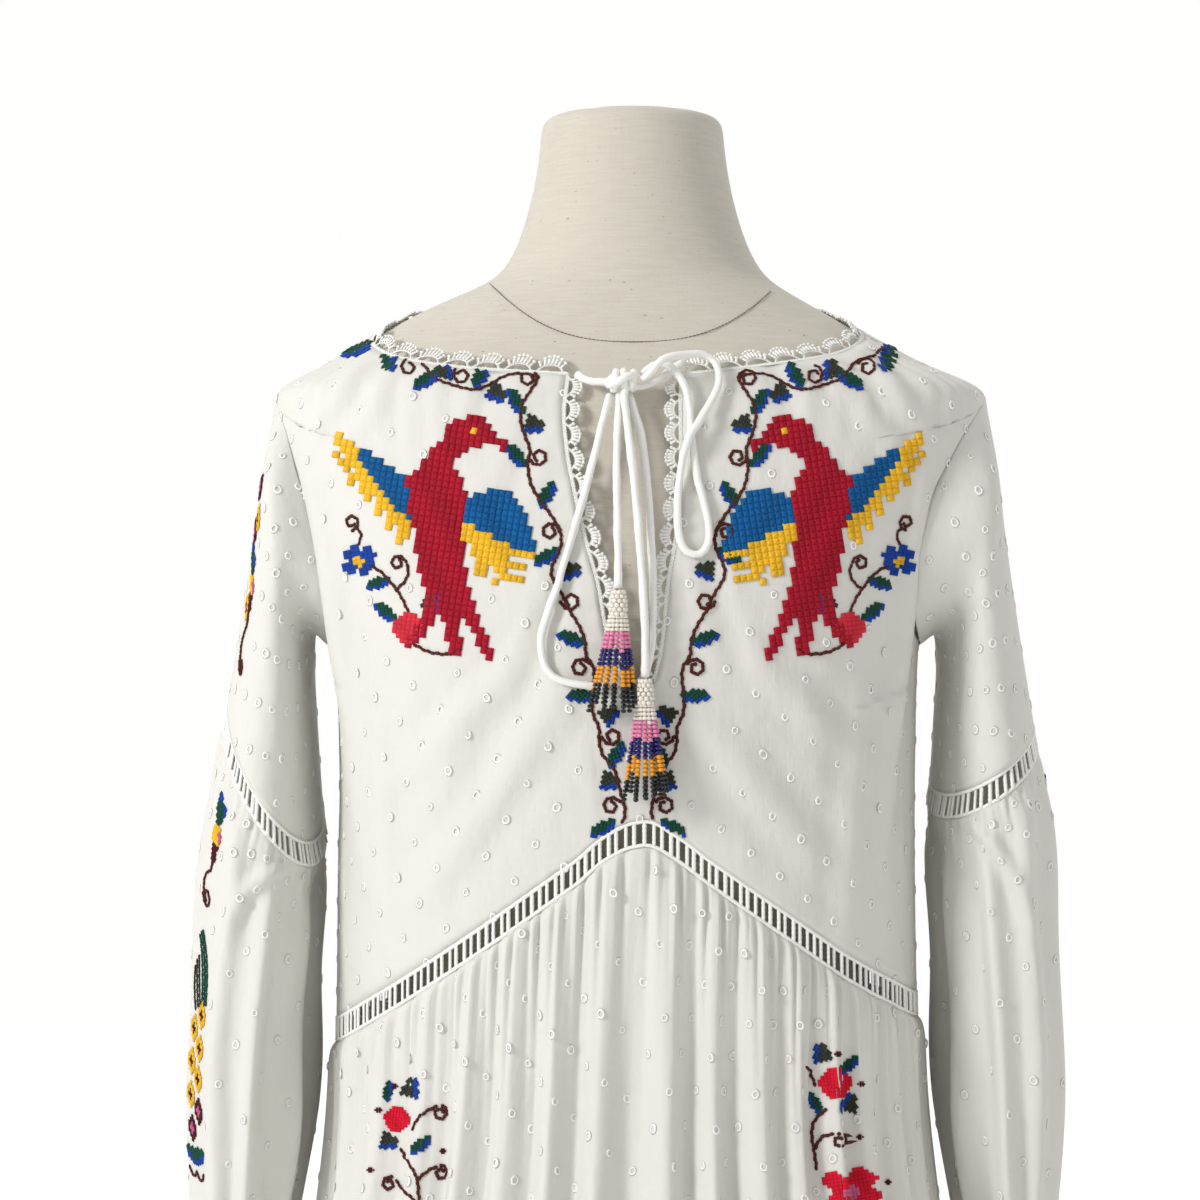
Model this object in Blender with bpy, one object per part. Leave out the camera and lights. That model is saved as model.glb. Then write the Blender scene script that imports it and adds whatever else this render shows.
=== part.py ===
"""A pollera dress of dotted cotton voile on a limbless dress form.

Metres, +Z up. The dress faces -Y and the wearer's right side is at -X. The
origin is the middle of the round stand's underside, on the floor.
"""

import bisect
import math

import bmesh
import bpy
from mathutils import Vector

# Driving sizes of the cloth
WALL = 0.0015
SEAM_GAP = 0.0006
SIDE_GAP = 0.00035
SECTION_POWER = 2.4

# Heights of the dress
HEM_HEIGHT = 0.420
SHOULDER_TIP_HEIGHT = 1.374
UNDERARM_HEIGHT = 1.222
NECK_POINT_HEIGHT = 1.427
SLIT_END_HEIGHT = 1.1935

# Ladder insertion: height as worn, rails and open cells
LADDER_HEIGHT = 0.0158
LADDER_RAIL = 0.0025
LADDER_PITCH = 0.0066
LADDER_BAR_SHARE = 0.37
LADDER_WALL = 0.0012

# Crochet edging
TRIM_WIDTH = 0.0090
TRIM_WALL = 0.0011
SCALLOP_DEPTH_SHARE = 0.30
TRIM_SAMPLES = 2
TRIM_CORNER_TURN = 2.6

# Tie and tassels
TIE_RADIUS = 0.0023
TIE_POINT_SPACING = 0.0138
KNOT_SIZE = (0.0200, 0.0130, 0.0140)
KNOT_CENTRE = (-0.0072, -0.1110, 1.3765)
TASSEL_HEAD_WIDTH = 0.0090
TASSEL_HEAD_LENGTH = 0.0150
TASSEL_STRAND_LENGTH = 0.0560
TASSEL_GAP = 0.0008

# Dress form and stand
BASE_RADIUS = 0.190
BASE_THICKNESS = 0.008
POLE_RADIUS = 0.0125
FLANGE_RADIUS = 0.042
FLANGE_THICKNESS = 0.012
FORM_BOTTOM = 0.830

# Body sections of the dress from the hem to the neck.
# height, half width at -X, half width at +X, depth in front, depth behind
DRESS_SECTIONS = (
    (0.420, 0.290, 0.280, 0.240, 0.215),
    (0.560, 0.264, 0.254, 0.214, 0.186),
    (0.700, 0.232, 0.224, 0.186, 0.158),
    (0.794, 0.208, 0.201, 0.168, 0.140),
    (0.878, 0.190, 0.184, 0.152, 0.124),
    (0.980, 0.182, 0.175, 0.134, 0.109),
    (1.118, 0.181, 0.173, 0.136, 0.104),
    (1.180, 0.182, 0.174, 0.138, 0.107),
    (1.220, 0.187, 0.176, 0.137, 0.110),
    (1.260, 0.197, 0.184, 0.133, 0.112),
    (1.300, 0.209, 0.199, 0.126, 0.111),
    (1.340, 0.2175, 0.2125, 0.116, 0.107),
    (1.374, 0.2196, 0.2175, 0.101, 0.099),
    (1.400, 0.1820, 0.1700, 0.083, 0.090),
    (1.427, 0.1420, 0.1240, 0.062, 0.077),
    (1.440, 0.1050, 0.0990, 0.056, 0.072),
    (1.467, 0.0760, 0.0760, 0.050, 0.069),
)

# Sections of the dress form, same columns and the squareness of the section.
FORM_SECTIONS = (
    (0.830, 0.163, 0.163, 0.104, 0.098, 2.4),
    (0.834, 0.168, 0.168, 0.109, 0.103, 2.4),
    (0.960, 0.156, 0.152, 0.104, 0.092, 2.4),
    (1.030, 0.148, 0.145, 0.102, 0.084, 2.4),
    (1.120, 0.156, 0.152, 0.118, 0.088, 2.4),
    (1.200, 0.166, 0.161, 0.128, 0.098, 2.4),
    (1.250, 0.172, 0.168, 0.127, 0.103, 2.4),
    (1.300, 0.188, 0.184, 0.119, 0.1055, 2.4),
    (1.340, 0.202, 0.200, 0.1095, 0.102, 2.4),
    (1.362, 0.209, 0.208, 0.1025, 0.0975, 2.3),
    (1.376, 0.206, 0.205, 0.0955, 0.0945, 2.3),
    (1.400, 0.1790, 0.1670, 0.0800, 0.0870, 2.3),
    (1.427, 0.1360, 0.1200, 0.0690, 0.0735, 2.15),
    (1.442, 0.0970, 0.0930, 0.0650, 0.0690, 2.0),
    (1.452, 0.0800, 0.0800, 0.0625, 0.0670, 2.0),
    (1.475, 0.0690, 0.0690, 0.0590, 0.0630, 2.0),
    (1.505, 0.0610, 0.0610, 0.0560, 0.0600, 2.0),
    (1.530, 0.0575, 0.0575, 0.0550, 0.0585, 2.0),
    (1.541, 0.0570, 0.0570, 0.0545, 0.0580, 2.0),
    (1.546, 0.0545, 0.0545, 0.0520, 0.0555, 2.0),
    (1.548, 0.0490, 0.0490, 0.0465, 0.0500, 2.0),
)

# Upper edge of the ladder in front, by angle round the body.
# angle from +X towards the front, height
LADDER_FRONT_TOP = (
    (0, 1.0095),
    (18, 1.0165),
    (33, 1.0280),
    (47, 1.0430),
    (65, 1.0730),
    (79, 1.1020),
    (85, 1.1175),
    (89, 1.1255),
    (93, 1.1180),
    (98, 1.1020),
    (122, 1.0505),
    (142, 1.0210),
    (162, 1.0020),
    (180, 0.9930),
)
APEX_ANGLE = 89.0
LADDER_BACK_RISE = 0.020

# Slit edges of the yoke. height, x at the -X edge, x at the +X edge
SLIT_EDGES = (
    (1.1935, 0.0015, 0.0015),
    (1.2068, -0.0090, 0.0124),
    (1.2290, -0.0170, 0.0170),
    (1.2580, -0.0223, 0.0199),
    (1.2850, -0.0297, 0.0246),
    (1.3100, -0.0355, 0.0271),
    (1.3350, -0.0402, 0.0279),
    (1.3570, -0.0422, 0.0279),
    (1.3810, -0.0400, 0.0287),
)
SLIT_TOP_HEIGHT = 1.3810

# Front neckline from the slit's corner to the neck point.
# share of the way in angle, height at -X, height at +X
NECKLINE_FRONT = (
    (0.00, 1.3810, 1.3810),
    (0.18, 1.3850, 1.3880),
    (0.40, 1.3925, 1.3960),
    (0.65, 1.4040, 1.4080),
    (0.85, 1.4170, 1.4190),
    (1.00, 1.4270, 1.4270),
)
NECKLINE_BACK_DROP = 0.004

# Seam of the sleeve: straight steps of each half armhole, and its clearance
ARMHOLE_STEPS = 7
ARMHOLE_GAP = 0.0019

# Columns and rows of the yoke's cloth
YOKE_HALF_COLUMNS = 13
YOKE_BACK_COLUMNS = 14
YOKE_ROWS = 12
SLIT_ROWS = 9

# Largest turn of the armhole from the side, in degrees: -X, +X
ARMHOLE_TURN = (25.0, 33.0)

# Skirt folds in front: valley angles at the gathered edge and at the hem,
# and the depth of the fold that follows the valley
FOLDS_FRONT = (
    (0.0, 0.0, 0.4),
    (16.0, 14.0, 0.7),
    (29.0, 27.0, 0.9),
    (40.0, 37.0, 0.7),
    (50.0, 48.0, 1.1),
    (58.5, 60.0, 0.8),
    (66.5, 67.0, 1.0),
    (75.0, 77.0, 0.9),
    (82.5, 84.0, 1.1),
    (89.5, 92.0, 0.9),
    (96.5, 101.0, 1.0),
    (104.0, 108.0, 0.8),
    (112.0, 118.0, 1.0),
    (121.0, 127.0, 0.8),
    (133.0, 138.0, 0.9),
    (147.0, 151.0, 0.8),
    (163.0, 165.0, 0.5),
    (180.0, 180.0, 0.4),
)
FOLDS_BACK = (
    (180.0, 180.0, 0.4),
    (198.0, 196.0, 0.8),
    (213.0, 211.0, 1.0),
    (227.0, 226.0, 0.8),
    (240.0, 239.0, 1.0),
    (253.0, 251.0, 0.9),
    (266.0, 264.0, 1.1),
    (279.0, 279.0, 0.9),
    (292.0, 293.0, 1.0),
    (306.0, 307.0, 0.8),
    (322.0, 324.0, 0.9),
    (341.0, 342.0, 0.6),
    (360.0, 360.0, 0.4),
)
# Share of the way down the skirt, fold height in metres
FOLD_GROWTH = (
    (0.00, 0.0006),
    (0.05, 0.0022),
    (0.15, 0.0045),
    (0.35, 0.0085),
    (0.60, 0.0135),
    (1.00, 0.0200),
)
SKIRT_ROWS_FRONT = (0.0, 0.05, 0.14, 0.28, 0.46, 0.65, 0.84, 1.0)
SKIRT_ROWS_BACK = (0.0, 0.06, 0.22, 0.46, 0.74, 1.0)

# Upper sleeve sections below the armhole, +X side, then -X side.
# outer x, outer height, inner x, inner height, half depth, front drop
UPPER_SLEEVE_RIGHT = (
    (0.2215, 1.349, 0.1875, 1.228, 0.0730, 0.004),
    (0.2275, 1.303, 0.1910, 1.204, 0.0710, 0.007),
    (0.2370, 1.240, 0.1885, 1.168, 0.0700, 0.008),
    (0.2465, 1.176, 0.1860, 1.134, 0.0720, 0.008),
)
UPPER_SLEEVE_LEFT = (
    (-0.2235, 1.350, -0.1970, 1.228, 0.0730, 0.004),
    (-0.2310, 1.308, -0.1990, 1.200, 0.0710, 0.010),
    (-0.2400, 1.250, -0.1960, 1.152, 0.0700, 0.016),
    (-0.2490, 1.192, -0.1925, 1.108, 0.0720, 0.020),
)
SLEEVE_LADDER_DROP = 0.0140

# Lower sleeve sections, same columns and the height of its gathers
LOWER_SLEEVE_RIGHT = (
    (0.2480, 1.1610, 0.1850, 1.1190, 0.0725, 0.008, 0.0004),
    (0.2555, 1.1350, 0.1850, 1.0940, 0.0775, 0.008, 0.0022),
    (0.2600, 1.0700, 0.1865, 1.0300, 0.0810, 0.006, 0.0030),
    (0.2620, 0.9650, 0.1900, 0.9450, 0.0820, 0.002, 0.0033),
    (0.2580, 0.8530, 0.2060, 0.8510, 0.0620, 0.000, 0.0030),
    (0.2590, 0.8225, 0.2160, 0.8225, 0.0360, 0.000, 0.0004),
)
LOWER_SLEEVE_LEFT = (
    (-0.2505, 1.1770, -0.1915, 1.0930, 0.0725, 0.020, 0.0004),
    (-0.2580, 1.1450, -0.1930, 1.0720, 0.0775, 0.018, 0.0022),
    (-0.2660, 1.0750, -0.1945, 1.0200, 0.0820, 0.010, 0.0030),
    (-0.2720, 0.9650, -0.1980, 0.9400, 0.0830, 0.002, 0.0033),
    (-0.2700, 0.8530, -0.2140, 0.8510, 0.0630, 0.000, 0.0030),
    (-0.2700, 0.8225, -0.2250, 0.8225, 0.0360, 0.000, 0.0004),
)
SLEEVE_GATHERS = 10
CUFF_HEIGHT = 0.027

# Routes of the tie in millimetres, chosen by hand along its middle
LEFT_BRIDGE = (
    (-33.4, -100.6, 1381.3),
    (-28.1, -103.6, 1377.6),
    (-22.3, -105.9, 1376.2),
    (-18.1, -106.9, 1376.1),
)
RIGHT_BRIDGE = (
    (29.0, -96.2, 1388.8),
    (21.5, -99.8, 1384.0),
    (12.5, -104.2, 1377.0),
    (4.2, -106.7, 1373.5),
)
LEFT_LOOP = (
    (-14.0, -111.0, 1368.3),
    (-16.8, -114.2, 1359.4),
    (-21.1, -119.9, 1341.8),
    (-25.7, -124.1, 1323.2),
    (-29.7, -127.8, 1307.0),
    (-34.8, -130.6, 1289.9),
    (-39.9, -133.0, 1272.7),
    (-45.0, -135.4, 1255.7),
    (-49.5, -136.8, 1243.2),
    (-53.4, -138.0, 1227.3),
    (-51.1, -139.0, 1213.2),
    (-42.6, -139.8, 1204.7),
    (-22.8, -141.3, 1200.8),
    (-7.6, -141.8, 1199.1),
    (1.5, -141.8, 1202.5),
    (7.1, -141.8, 1213.3),
    (9.4, -141.0, 1227.4),
    (10.0, -138.6, 1250.0),
    (9.5, -134.7, 1272.7),
    (8.5, -131.6, 1295.5),
    (6.8, -126.2, 1318.5),
    (4.1, -121.2, 1341.7),
    (-0.5, -115.5, 1359.2),
    (-3.2, -111.0, 1368.0),
)
RIGHT_LOOP = (
    (4.7, -108.2, 1380.2),
    (10.1, -110.0, 1385.0),
    (19.9, -107.5, 1385.5),
    (28.5, -109.5, 1374.5),
    (31.8, -113.9, 1358.3),
    (32.8, -119.1, 1341.2),
    (35.5, -123.7, 1320.9),
    (40.4, -128.4, 1301.3),
    (42.1, -130.9, 1285.3),
    (36.9, -132.6, 1276.2),
    (28.3, -132.8, 1278.4),
    (24.4, -131.2, 1289.8),
    (24.5, -128.4, 1310.5),
    (26.9, -126.0, 1328.9),
    (30.9, -124.6, 1342.7),
    (37.4, -120.0, 1353.3),
    (44.0, -111.5, 1364.8),
    (49.0, -104.5, 1376.4),
    (47.5, -100.5, 1387.2),
    (40.0, -102.0, 1392.5),
    (28.8, -108.0, 1391.5),
    (17.0, -114.5, 1389.0),
    (9.8, -115.6, 1381.8),
    (4.7, -114.0, 1377.0),
)
END_ONE = (
    (-8.8, -110.4, 1368.1),
    (-9.6, -118.3, 1353.3),
    (-10.4, -126.0, 1330.0),
    (-10.3, -133.2, 1306.9),
    (-9.9, -141.6, 1284.1),
    (-9.8, -148.8, 1267.0),
    (-9.8, -150.5, 1256.5),
)
END_TWO = (
    (-6.0, -115.2, 1368.5),
    (-4.0, -126.2, 1347.1),
    (-0.7, -134.0, 1318.2),
    (1.8, -140.4, 1289.6),
    (3.8, -145.6, 1261.3),
    (5.2, -148.9, 1233.2),
    (5.2, -149.8, 1206.6),
)

# Colours of the materials: red, green, blue, roughness, metallic
VOILE = ("cotton_voile", 0.78, 0.78, 0.74, 0.90, 0.0)
LADDER_THREAD = ("lace_thread", 0.74, 0.73, 0.68, 0.90, 0.0)
CROCHET = ("crochet_cotton", 0.76, 0.75, 0.70, 0.92, 0.0)
TIE_COTTON = ("tie_cotton", 0.77, 0.76, 0.72, 0.90, 0.0)
BEADS = ("glass_beads", 0.35, 0.20, 0.25, 0.25, 0.0)
LINEN = ("linen_cover", 0.50, 0.47, 0.40, 0.95, 0.0)
STAND_STEEL = ("stand_metal", 0.10, 0.10, 0.10, 0.45, 0.8)


def remove_scene_objects():
    """Empty the scene of its objects."""
    for item in list(bpy.data.objects):
        bpy.data.objects.remove(item, do_unlink=True)


def material(finish):
    """Return the Principled material of a finish row."""
    name, red, green, blue, roughness, metallic = finish
    found = bpy.data.materials.get(name)
    if found:
        return found
    made = bpy.data.materials.new(name)
    made.use_nodes = True
    shader = made.node_tree.nodes["Principled BSDF"]
    shader.inputs["Base Color"].default_value = (red, green, blue, 1.0)
    shader.inputs["Roughness"].default_value = roughness
    shader.inputs["Metallic"].default_value = metallic
    return made


def read_table(rows, place, column):
    """Read a column of a table at a place, along a smooth monotone curve."""
    keys = [row[0] for row in rows]
    values = [row[column] for row in rows]
    if place <= keys[0]:
        return values[0]
    if place >= keys[-1]:
        return values[-1]
    right = bisect.bisect_right(keys, place)
    left = right - 1
    slopes = []
    for index in (left, right):
        if index == 0 or index == len(rows) - 1:
            step = 1 if index == 0 else -1
            slopes.append((values[index + step] - values[index]) / (keys[index + step] - keys[index]))
            continue
        before = (values[index] - values[index - 1]) / (keys[index] - keys[index - 1])
        after = (values[index + 1] - values[index]) / (keys[index + 1] - keys[index])
        slopes.append(0.0 if before * after <= 0 else 2 * before * after / (before + after))
    width = keys[right] - keys[left]
    t = (place - keys[left]) / width
    rise = values[right] - values[left]
    start = values[left] + width * slopes[0] * (t - 2 * t ** 2 + t ** 3)
    return start + rise * (3 * t ** 2 - 2 * t ** 3) + width * slopes[1] * (t ** 3 - t ** 2)


def section_point(sections, angle, height, outward=0.0, squareness=SECTION_POWER):
    """Point of a body section: angle in degrees from +X towards the front."""
    turn = math.radians(angle)
    side = 2 if math.cos(turn) >= 0 else 1
    face = 3 if math.sin(turn) >= 0 else 4
    half = read_table(sections, height, side) + outward
    depth = read_table(sections, height, face) + outward
    power = 2 / squareness
    x = half * math.copysign(abs(math.cos(turn)) ** power, math.cos(turn))
    y = -depth * math.copysign(abs(math.sin(turn)) ** power, math.sin(turn))
    return Vector((x, y, height))


def dress_point(angle, height, outward=0.0):
    """Point on the middle of the dress's cloth."""
    return section_point(DRESS_SECTIONS, angle, height, outward)


def angle_at_x(x, height):
    """Angle of the front point of the dress that has this x."""
    half = read_table(DRESS_SECTIONS, height, 2 if x >= 0 else 1)
    share = min(abs(x) / half, 1.0) ** (SECTION_POWER / 2)
    turn = math.degrees(math.acos(share))
    return turn if x >= 0 else 180 - turn


def seam_angle(height, back=False):
    """Small angle that keeps a side edge SIDE_GAP off the middle plane."""
    depth = read_table(DRESS_SECTIONS, height, 4 if back else 3)
    return math.degrees(math.asin((SIDE_GAP / depth) ** (SECTION_POWER / 2)))


def ladder_top(angle):
    """Height of the ladder's upper edge at an angle round the body."""
    angle %= 360
    if angle <= 180:
        return read_table(LADDER_FRONT_TOP, angle, 1)
    share = (angle - 180) / 180
    ends = LADDER_FRONT_TOP[-1][1] * (1 - share) + LADDER_FRONT_TOP[0][1] * share
    return ends + LADDER_BACK_RISE * math.sin(math.pi * share)


def armhole(phase, positive):
    """Angle off the side and height of the armhole; phase 0 top, pi bottom."""
    middle = (SHOULDER_TIP_HEIGHT + UNDERARM_HEIGHT) / 2
    reach = (SHOULDER_TIP_HEIGHT - UNDERARM_HEIGHT) / 2
    turn = ARMHOLE_TURN[1 if positive else 0]
    swing = math.copysign(abs(math.sin(phase)) ** 0.9, math.sin(phase)) * turn
    return swing, middle + reach * math.cos(phase)


def wall_object(name, points, faces, finish, thickness=WALL):
    """Make a closed cloth wall round a surface of points and faces."""
    mesh = bpy.data.meshes.new(name)
    mesh.from_pydata([tuple(point) for point in points], [], faces)
    mesh.materials.append(material(finish))
    clean = bmesh.new()
    clean.from_mesh(mesh)
    bmesh.ops.remove_doubles(clean, verts=clean.verts, dist=0.00005)
    bmesh.ops.recalc_face_normals(clean, faces=clean.faces)
    clean.to_mesh(mesh)
    clean.free()
    mesh.shade_smooth()
    wall = bpy.data.objects.new(name, mesh)
    bpy.context.scene.collection.objects.link(wall)
    solid = wall.modifiers.new("Wall", "SOLIDIFY")
    solid.thickness = thickness
    solid.offset = 0.0
    solid.use_rim = True
    return wall


def solid_object(name, points, faces, finish):
    """Make an object of a closed mesh."""
    mesh = bpy.data.meshes.new(name)
    mesh.from_pydata([tuple(point) for point in points], [], faces)
    mesh.materials.append(material(finish))
    clean = bmesh.new()
    clean.from_mesh(mesh)
    bmesh.ops.recalc_face_normals(clean, faces=clean.faces)
    clean.to_mesh(mesh)
    clean.free()
    mesh.shade_smooth()
    mesh.set_sharp_from_angle(angle=math.radians(40))
    made = bpy.data.objects.new(name, mesh)
    bpy.context.scene.collection.objects.link(made)
    return made


def grid_faces(rows, columns, first=0, closed=False, skipped=()):
    """Faces of a grid of points stored row by row."""
    faces = []
    last = columns if closed else columns - 1
    for row in range(rows - 1):
        for column in range(last):
            if (row, column) in skipped:
                continue
            after = (column + 1) % columns
            low = first + row * columns
            high = low + columns
            faces.append((low + column, low + after, high + after, high + column))
    return faces


def grid_wall(name, grid, finish, thickness=WALL, closed=False, skipped=()):
    """Make a cloth wall from a grid of points."""
    points = [point for row in grid for point in row]
    faces = grid_faces(len(grid), len(grid[0]), 0, closed, skipped)
    return wall_object(name, points, faces, finish, thickness)


def yoke_edge_angles(back=False):
    """Angles of the yoke's lower edge points, from side to side."""
    if back:
        start = 180 + seam_angle(ladder_top(180.0), True)
        end = 360 - seam_angle(ladder_top(360.0), True)
        return [start + (end - start) * index / YOKE_BACK_COLUMNS for index in range(YOKE_BACK_COLUMNS + 1)]
    start = seam_angle(ladder_top(0.0))
    end = 180 - seam_angle(ladder_top(180.0))
    steps = [index / YOKE_HALF_COLUMNS for index in range(YOKE_HALF_COLUMNS + 1)]
    rising = [start + (APEX_ANGLE - start) * step for step in steps]
    falling = [APEX_ANGLE + (end - APEX_ANGLE) * step for step in steps[1:]]
    return rising + falling


def below_yoke(angle, drop, outward=0.0, back=False):
    """Point at a drop below the yoke's straight-sided lower edge."""
    angles = yoke_edge_angles(back)
    right = min(max(bisect.bisect_left(angles, angle), 1), len(angles) - 1)
    ends = [dress_point(place, ladder_top(place) - drop, outward) for place in angles[right - 1:right + 1]]
    share = (angle - angles[right - 1]) / (angles[right] - angles[right - 1])
    return ends[0].lerp(ends[1], min(max(share, 0.0), 1.0))


def slit_edge(height, positive):
    """X of the slit's straight-sided edge at a height."""
    column = 2 if positive else 1
    step = (SLIT_TOP_HEIGHT - SLIT_END_HEIGHT) / SLIT_ROWS
    place = min(max((height - SLIT_END_HEIGHT) / step, 0.0), SLIT_ROWS)
    low = min(int(place), SLIT_ROWS - 1)
    below = read_table(SLIT_EDGES, SLIT_END_HEIGHT + low * step, column)
    above = read_table(SLIT_EDGES, SLIT_END_HEIGHT + (low + 1) * step, column)
    return below + (above - below) * (place - low)


def neckline_front(share, positive):
    """Angle and height of the front neckline, 0 at the slit, 1 at the neck point."""
    corner = angle_at_x(slit_edge(SLIT_TOP_HEIGHT, positive), SLIT_TOP_HEIGHT)
    height = read_table(NECKLINE_FRONT, share, 2 if positive else 1)
    side = seam_angle(height) if positive else 180 - seam_angle(height)
    return corner + (side - corner) * share, height


def yoke_side_edge(row, positive, back=False):
    """Angle off the side and height of the yoke's outer edge, by row of 12."""
    if row <= 2:
        height = NECK_POINT_HEIGHT + (SHOULDER_TIP_HEIGHT - NECK_POINT_HEIGHT) * row / 2
        return seam_angle(height, back), height
    if row < 9:
        swing, height = armhole(math.pi * (row - 2) / ARMHOLE_STEPS, positive)
        return max(swing, seam_angle(height, back)), height
    side = (360.0 if positive else 180.0) if back else (0.0 if positive else 180.0)
    bottom = ladder_top(side)
    height = UNDERARM_HEIGHT + (bottom - UNDERARM_HEIGHT) * (row - 9) / 3
    return seam_angle(height, back), height


def coons(left, right, top, bottom, u, v):
    """Blend four edge curves of (angle, height) pairs into a patch."""
    result = []
    for axis in range(2):
        across = (1 - u) * left(v)[axis] + u * right(v)[axis]
        down = (1 - v) * top(u)[axis] + v * bottom(u)[axis]
        low = (1 - u) * top(0.0)[axis] + u * top(1.0)[axis]
        high = (1 - u) * bottom(0.0)[axis] + u * bottom(1.0)[axis]
        result.append(across + down - (1 - v) * low - v * high)
    return result


def yoke_front_half(positive):
    """Grid of one half of the front yoke, from the slit to the side."""
    columns = YOKE_HALF_COLUMNS
    rows = YOKE_ROWS
    below_slit = YOKE_ROWS - SLIT_ROWS

    def centre(v):
        row = v * rows
        if row <= SLIT_ROWS:
            height = SLIT_TOP_HEIGHT + (SLIT_END_HEIGHT - SLIT_TOP_HEIGHT) * row / SLIT_ROWS
            return angle_at_x(slit_edge(height, positive), height), height
        share = (row - SLIT_ROWS) / below_slit
        height = SLIT_END_HEIGHT + (ladder_top(APEX_ANGLE) - SLIT_END_HEIGHT) * share
        start = angle_at_x(slit_edge(SLIT_END_HEIGHT, True), SLIT_END_HEIGHT)
        return start + (APEX_ANGLE - start) * share, height

    def side(v):
        swing, height = yoke_side_edge(v * rows, positive)
        return (swing if positive else 180 - swing), height

    def bottom(u):
        height = ladder_top(0.0 if positive else 180.0)
        end = seam_angle(height) if positive else 180 - seam_angle(height)
        angle = APEX_ANGLE + (end - APEX_ANGLE) * u
        return angle, ladder_top(angle)

    grid = []
    for row in range(rows + 1):
        line = []
        for column in range(columns + 1):
            u = column / columns
            angle, height = coons(centre, side, lambda s: neckline_front(s, positive), bottom, u, row / rows)
            line.append(dress_point(angle, height))
        grid.append(line)
    return grid


def build_yoke_front():
    """The front yoke: two halves that share the column below the slit."""
    points = []
    faces = []
    for positive in (True, False):
        grid = yoke_front_half(positive)
        faces += grid_faces(len(grid), len(grid[0]), len(points))
        points += [point for row in grid for point in row]
    return wall_object("yoke_front", points, faces, VOILE)


def neckline_back(angle):
    """Height of the back neckline at an angle from 180 to 360."""
    return NECK_POINT_HEIGHT - NECKLINE_BACK_DROP * math.sin(math.radians(angle - 180))


def build_yoke_back():
    """The back yoke, one piece from armhole to armhole."""
    columns = YOKE_BACK_COLUMNS
    rows = YOKE_ROWS

    def edge(positive):
        def place(v):
            swing, height = yoke_side_edge(v * rows, positive, True)
            return (360 - swing if positive else 180 + swing), height
        return place

    def top(u):
        start = 180 + seam_angle(NECK_POINT_HEIGHT, True)
        end = 360 - seam_angle(NECK_POINT_HEIGHT, True)
        angle = start + (end - start) * u
        return angle, neckline_back(angle)

    def bottom(u):
        start = 180 + seam_angle(ladder_top(180.0), True)
        end = 360 - seam_angle(ladder_top(360.0), True)
        angle = start + (end - start) * u
        return angle, ladder_top(angle)

    grid = []
    for row in range(rows + 1):
        line = [dress_point(*coons(edge(False), edge(True), top, bottom, column / columns, row / rows))
                for column in range(columns + 1)]
        grid.append(line)
    return grid_wall("yoke_back", grid, VOILE)


def scallop_share(place, count):
    """Width share of the edging at a place from 0 to 1, by arches."""
    return 1 - SCALLOP_DEPTH_SHARE + SCALLOP_DEPTH_SHARE * abs(math.sin(math.pi * place * count))


def build_slit_trim(positive, scallops=12):
    """Scalloped edging inside one edge of the slit."""
    inward = -1 if positive else 1
    foot = SLIT_END_HEIGHT + 0.012
    samples = scallops * TRIM_SAMPLES
    grid = [[], []]
    for index in range(samples + 1):
        place = index / samples
        for line in range(2):
            top = SLIT_TOP_HEIGHT - SEAM_GAP
            height = top + (foot - top) * place
            edge = slit_edge(height, positive)
            room = abs(edge - (slit_edge(height, True) + slit_edge(height, False)) / 2)
            width = min(TRIM_WIDTH * scallop_share(place, scallops), room - 3 * SEAM_GAP)
            x = edge + inward * (SEAM_GAP + line * max(width, 0.0015))
            grid[line].append(dress_point(angle_at_x(x, height), height))
    name = "slit_trim_right" if positive else "slit_trim_left"
    return grid_wall(name, grid, CROCHET, TRIM_WALL)


def above_neckline(angle, height, distance):
    """Point of the dress's surface at a distance above a neckline point."""
    step = 0.002
    slope = (dress_point(angle, height + step) - dress_point(angle, height)).length / step
    return dress_point(angle, height + distance / slope)


def trim_point(neckline, columns, place, distance, turn=0.0):
    """Point at a distance above a neckline with straight-sided steps."""
    low = min(int(place * columns), columns - 1)
    start = dress_point(*neckline(low / columns))
    end = dress_point(*neckline((low + 1) / columns))
    base = start.lerp(end, place * columns - low)
    angle, height = neckline(place)
    return base + above_neckline(angle + turn, height, distance) - dress_point(angle, height)


def build_neck_trim(positive, scallops=10):
    """Scalloped edging above one half of the front neckline."""
    def neckline(share):
        return neckline_front(share, positive)

    samples = scallops * TRIM_SAMPLES
    grid = [[], []]
    for index in range(samples + 1):
        place = index / samples
        turn_in = (1 if positive else -1) * TRIM_CORNER_TURN * (1 - place) ** 8
        for line in range(2):
            width = SEAM_GAP + line * TRIM_WIDTH * scallop_share(place, scallops)
            grid[line].append(trim_point(neckline, YOKE_HALF_COLUMNS, place, width, line * turn_in))
    name = "neck_trim_right" if positive else "neck_trim_left"
    return grid_wall(name, grid, CROCHET, TRIM_WALL)


def build_neck_trim_back(scallops=20):
    """Scalloped edging above the back neckline."""
    samples = scallops * TRIM_SAMPLES
    start = 180 + seam_angle(NECK_POINT_HEIGHT, True)
    end = 360 - seam_angle(NECK_POINT_HEIGHT, True)

    def neckline(share):
        angle = start + (end - start) * share
        return angle, neckline_back(angle)

    grid = [[], []]
    for index in range(samples + 1):
        place = index / samples
        for line in range(2):
            width = SEAM_GAP + line * TRIM_WIDTH * scallop_share(place, scallops)
            grid[line].append(trim_point(neckline, YOKE_BACK_COLUMNS, place, width))
    return grid_wall("neck_trim_back", grid, CROCHET, TRIM_WALL)


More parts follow.
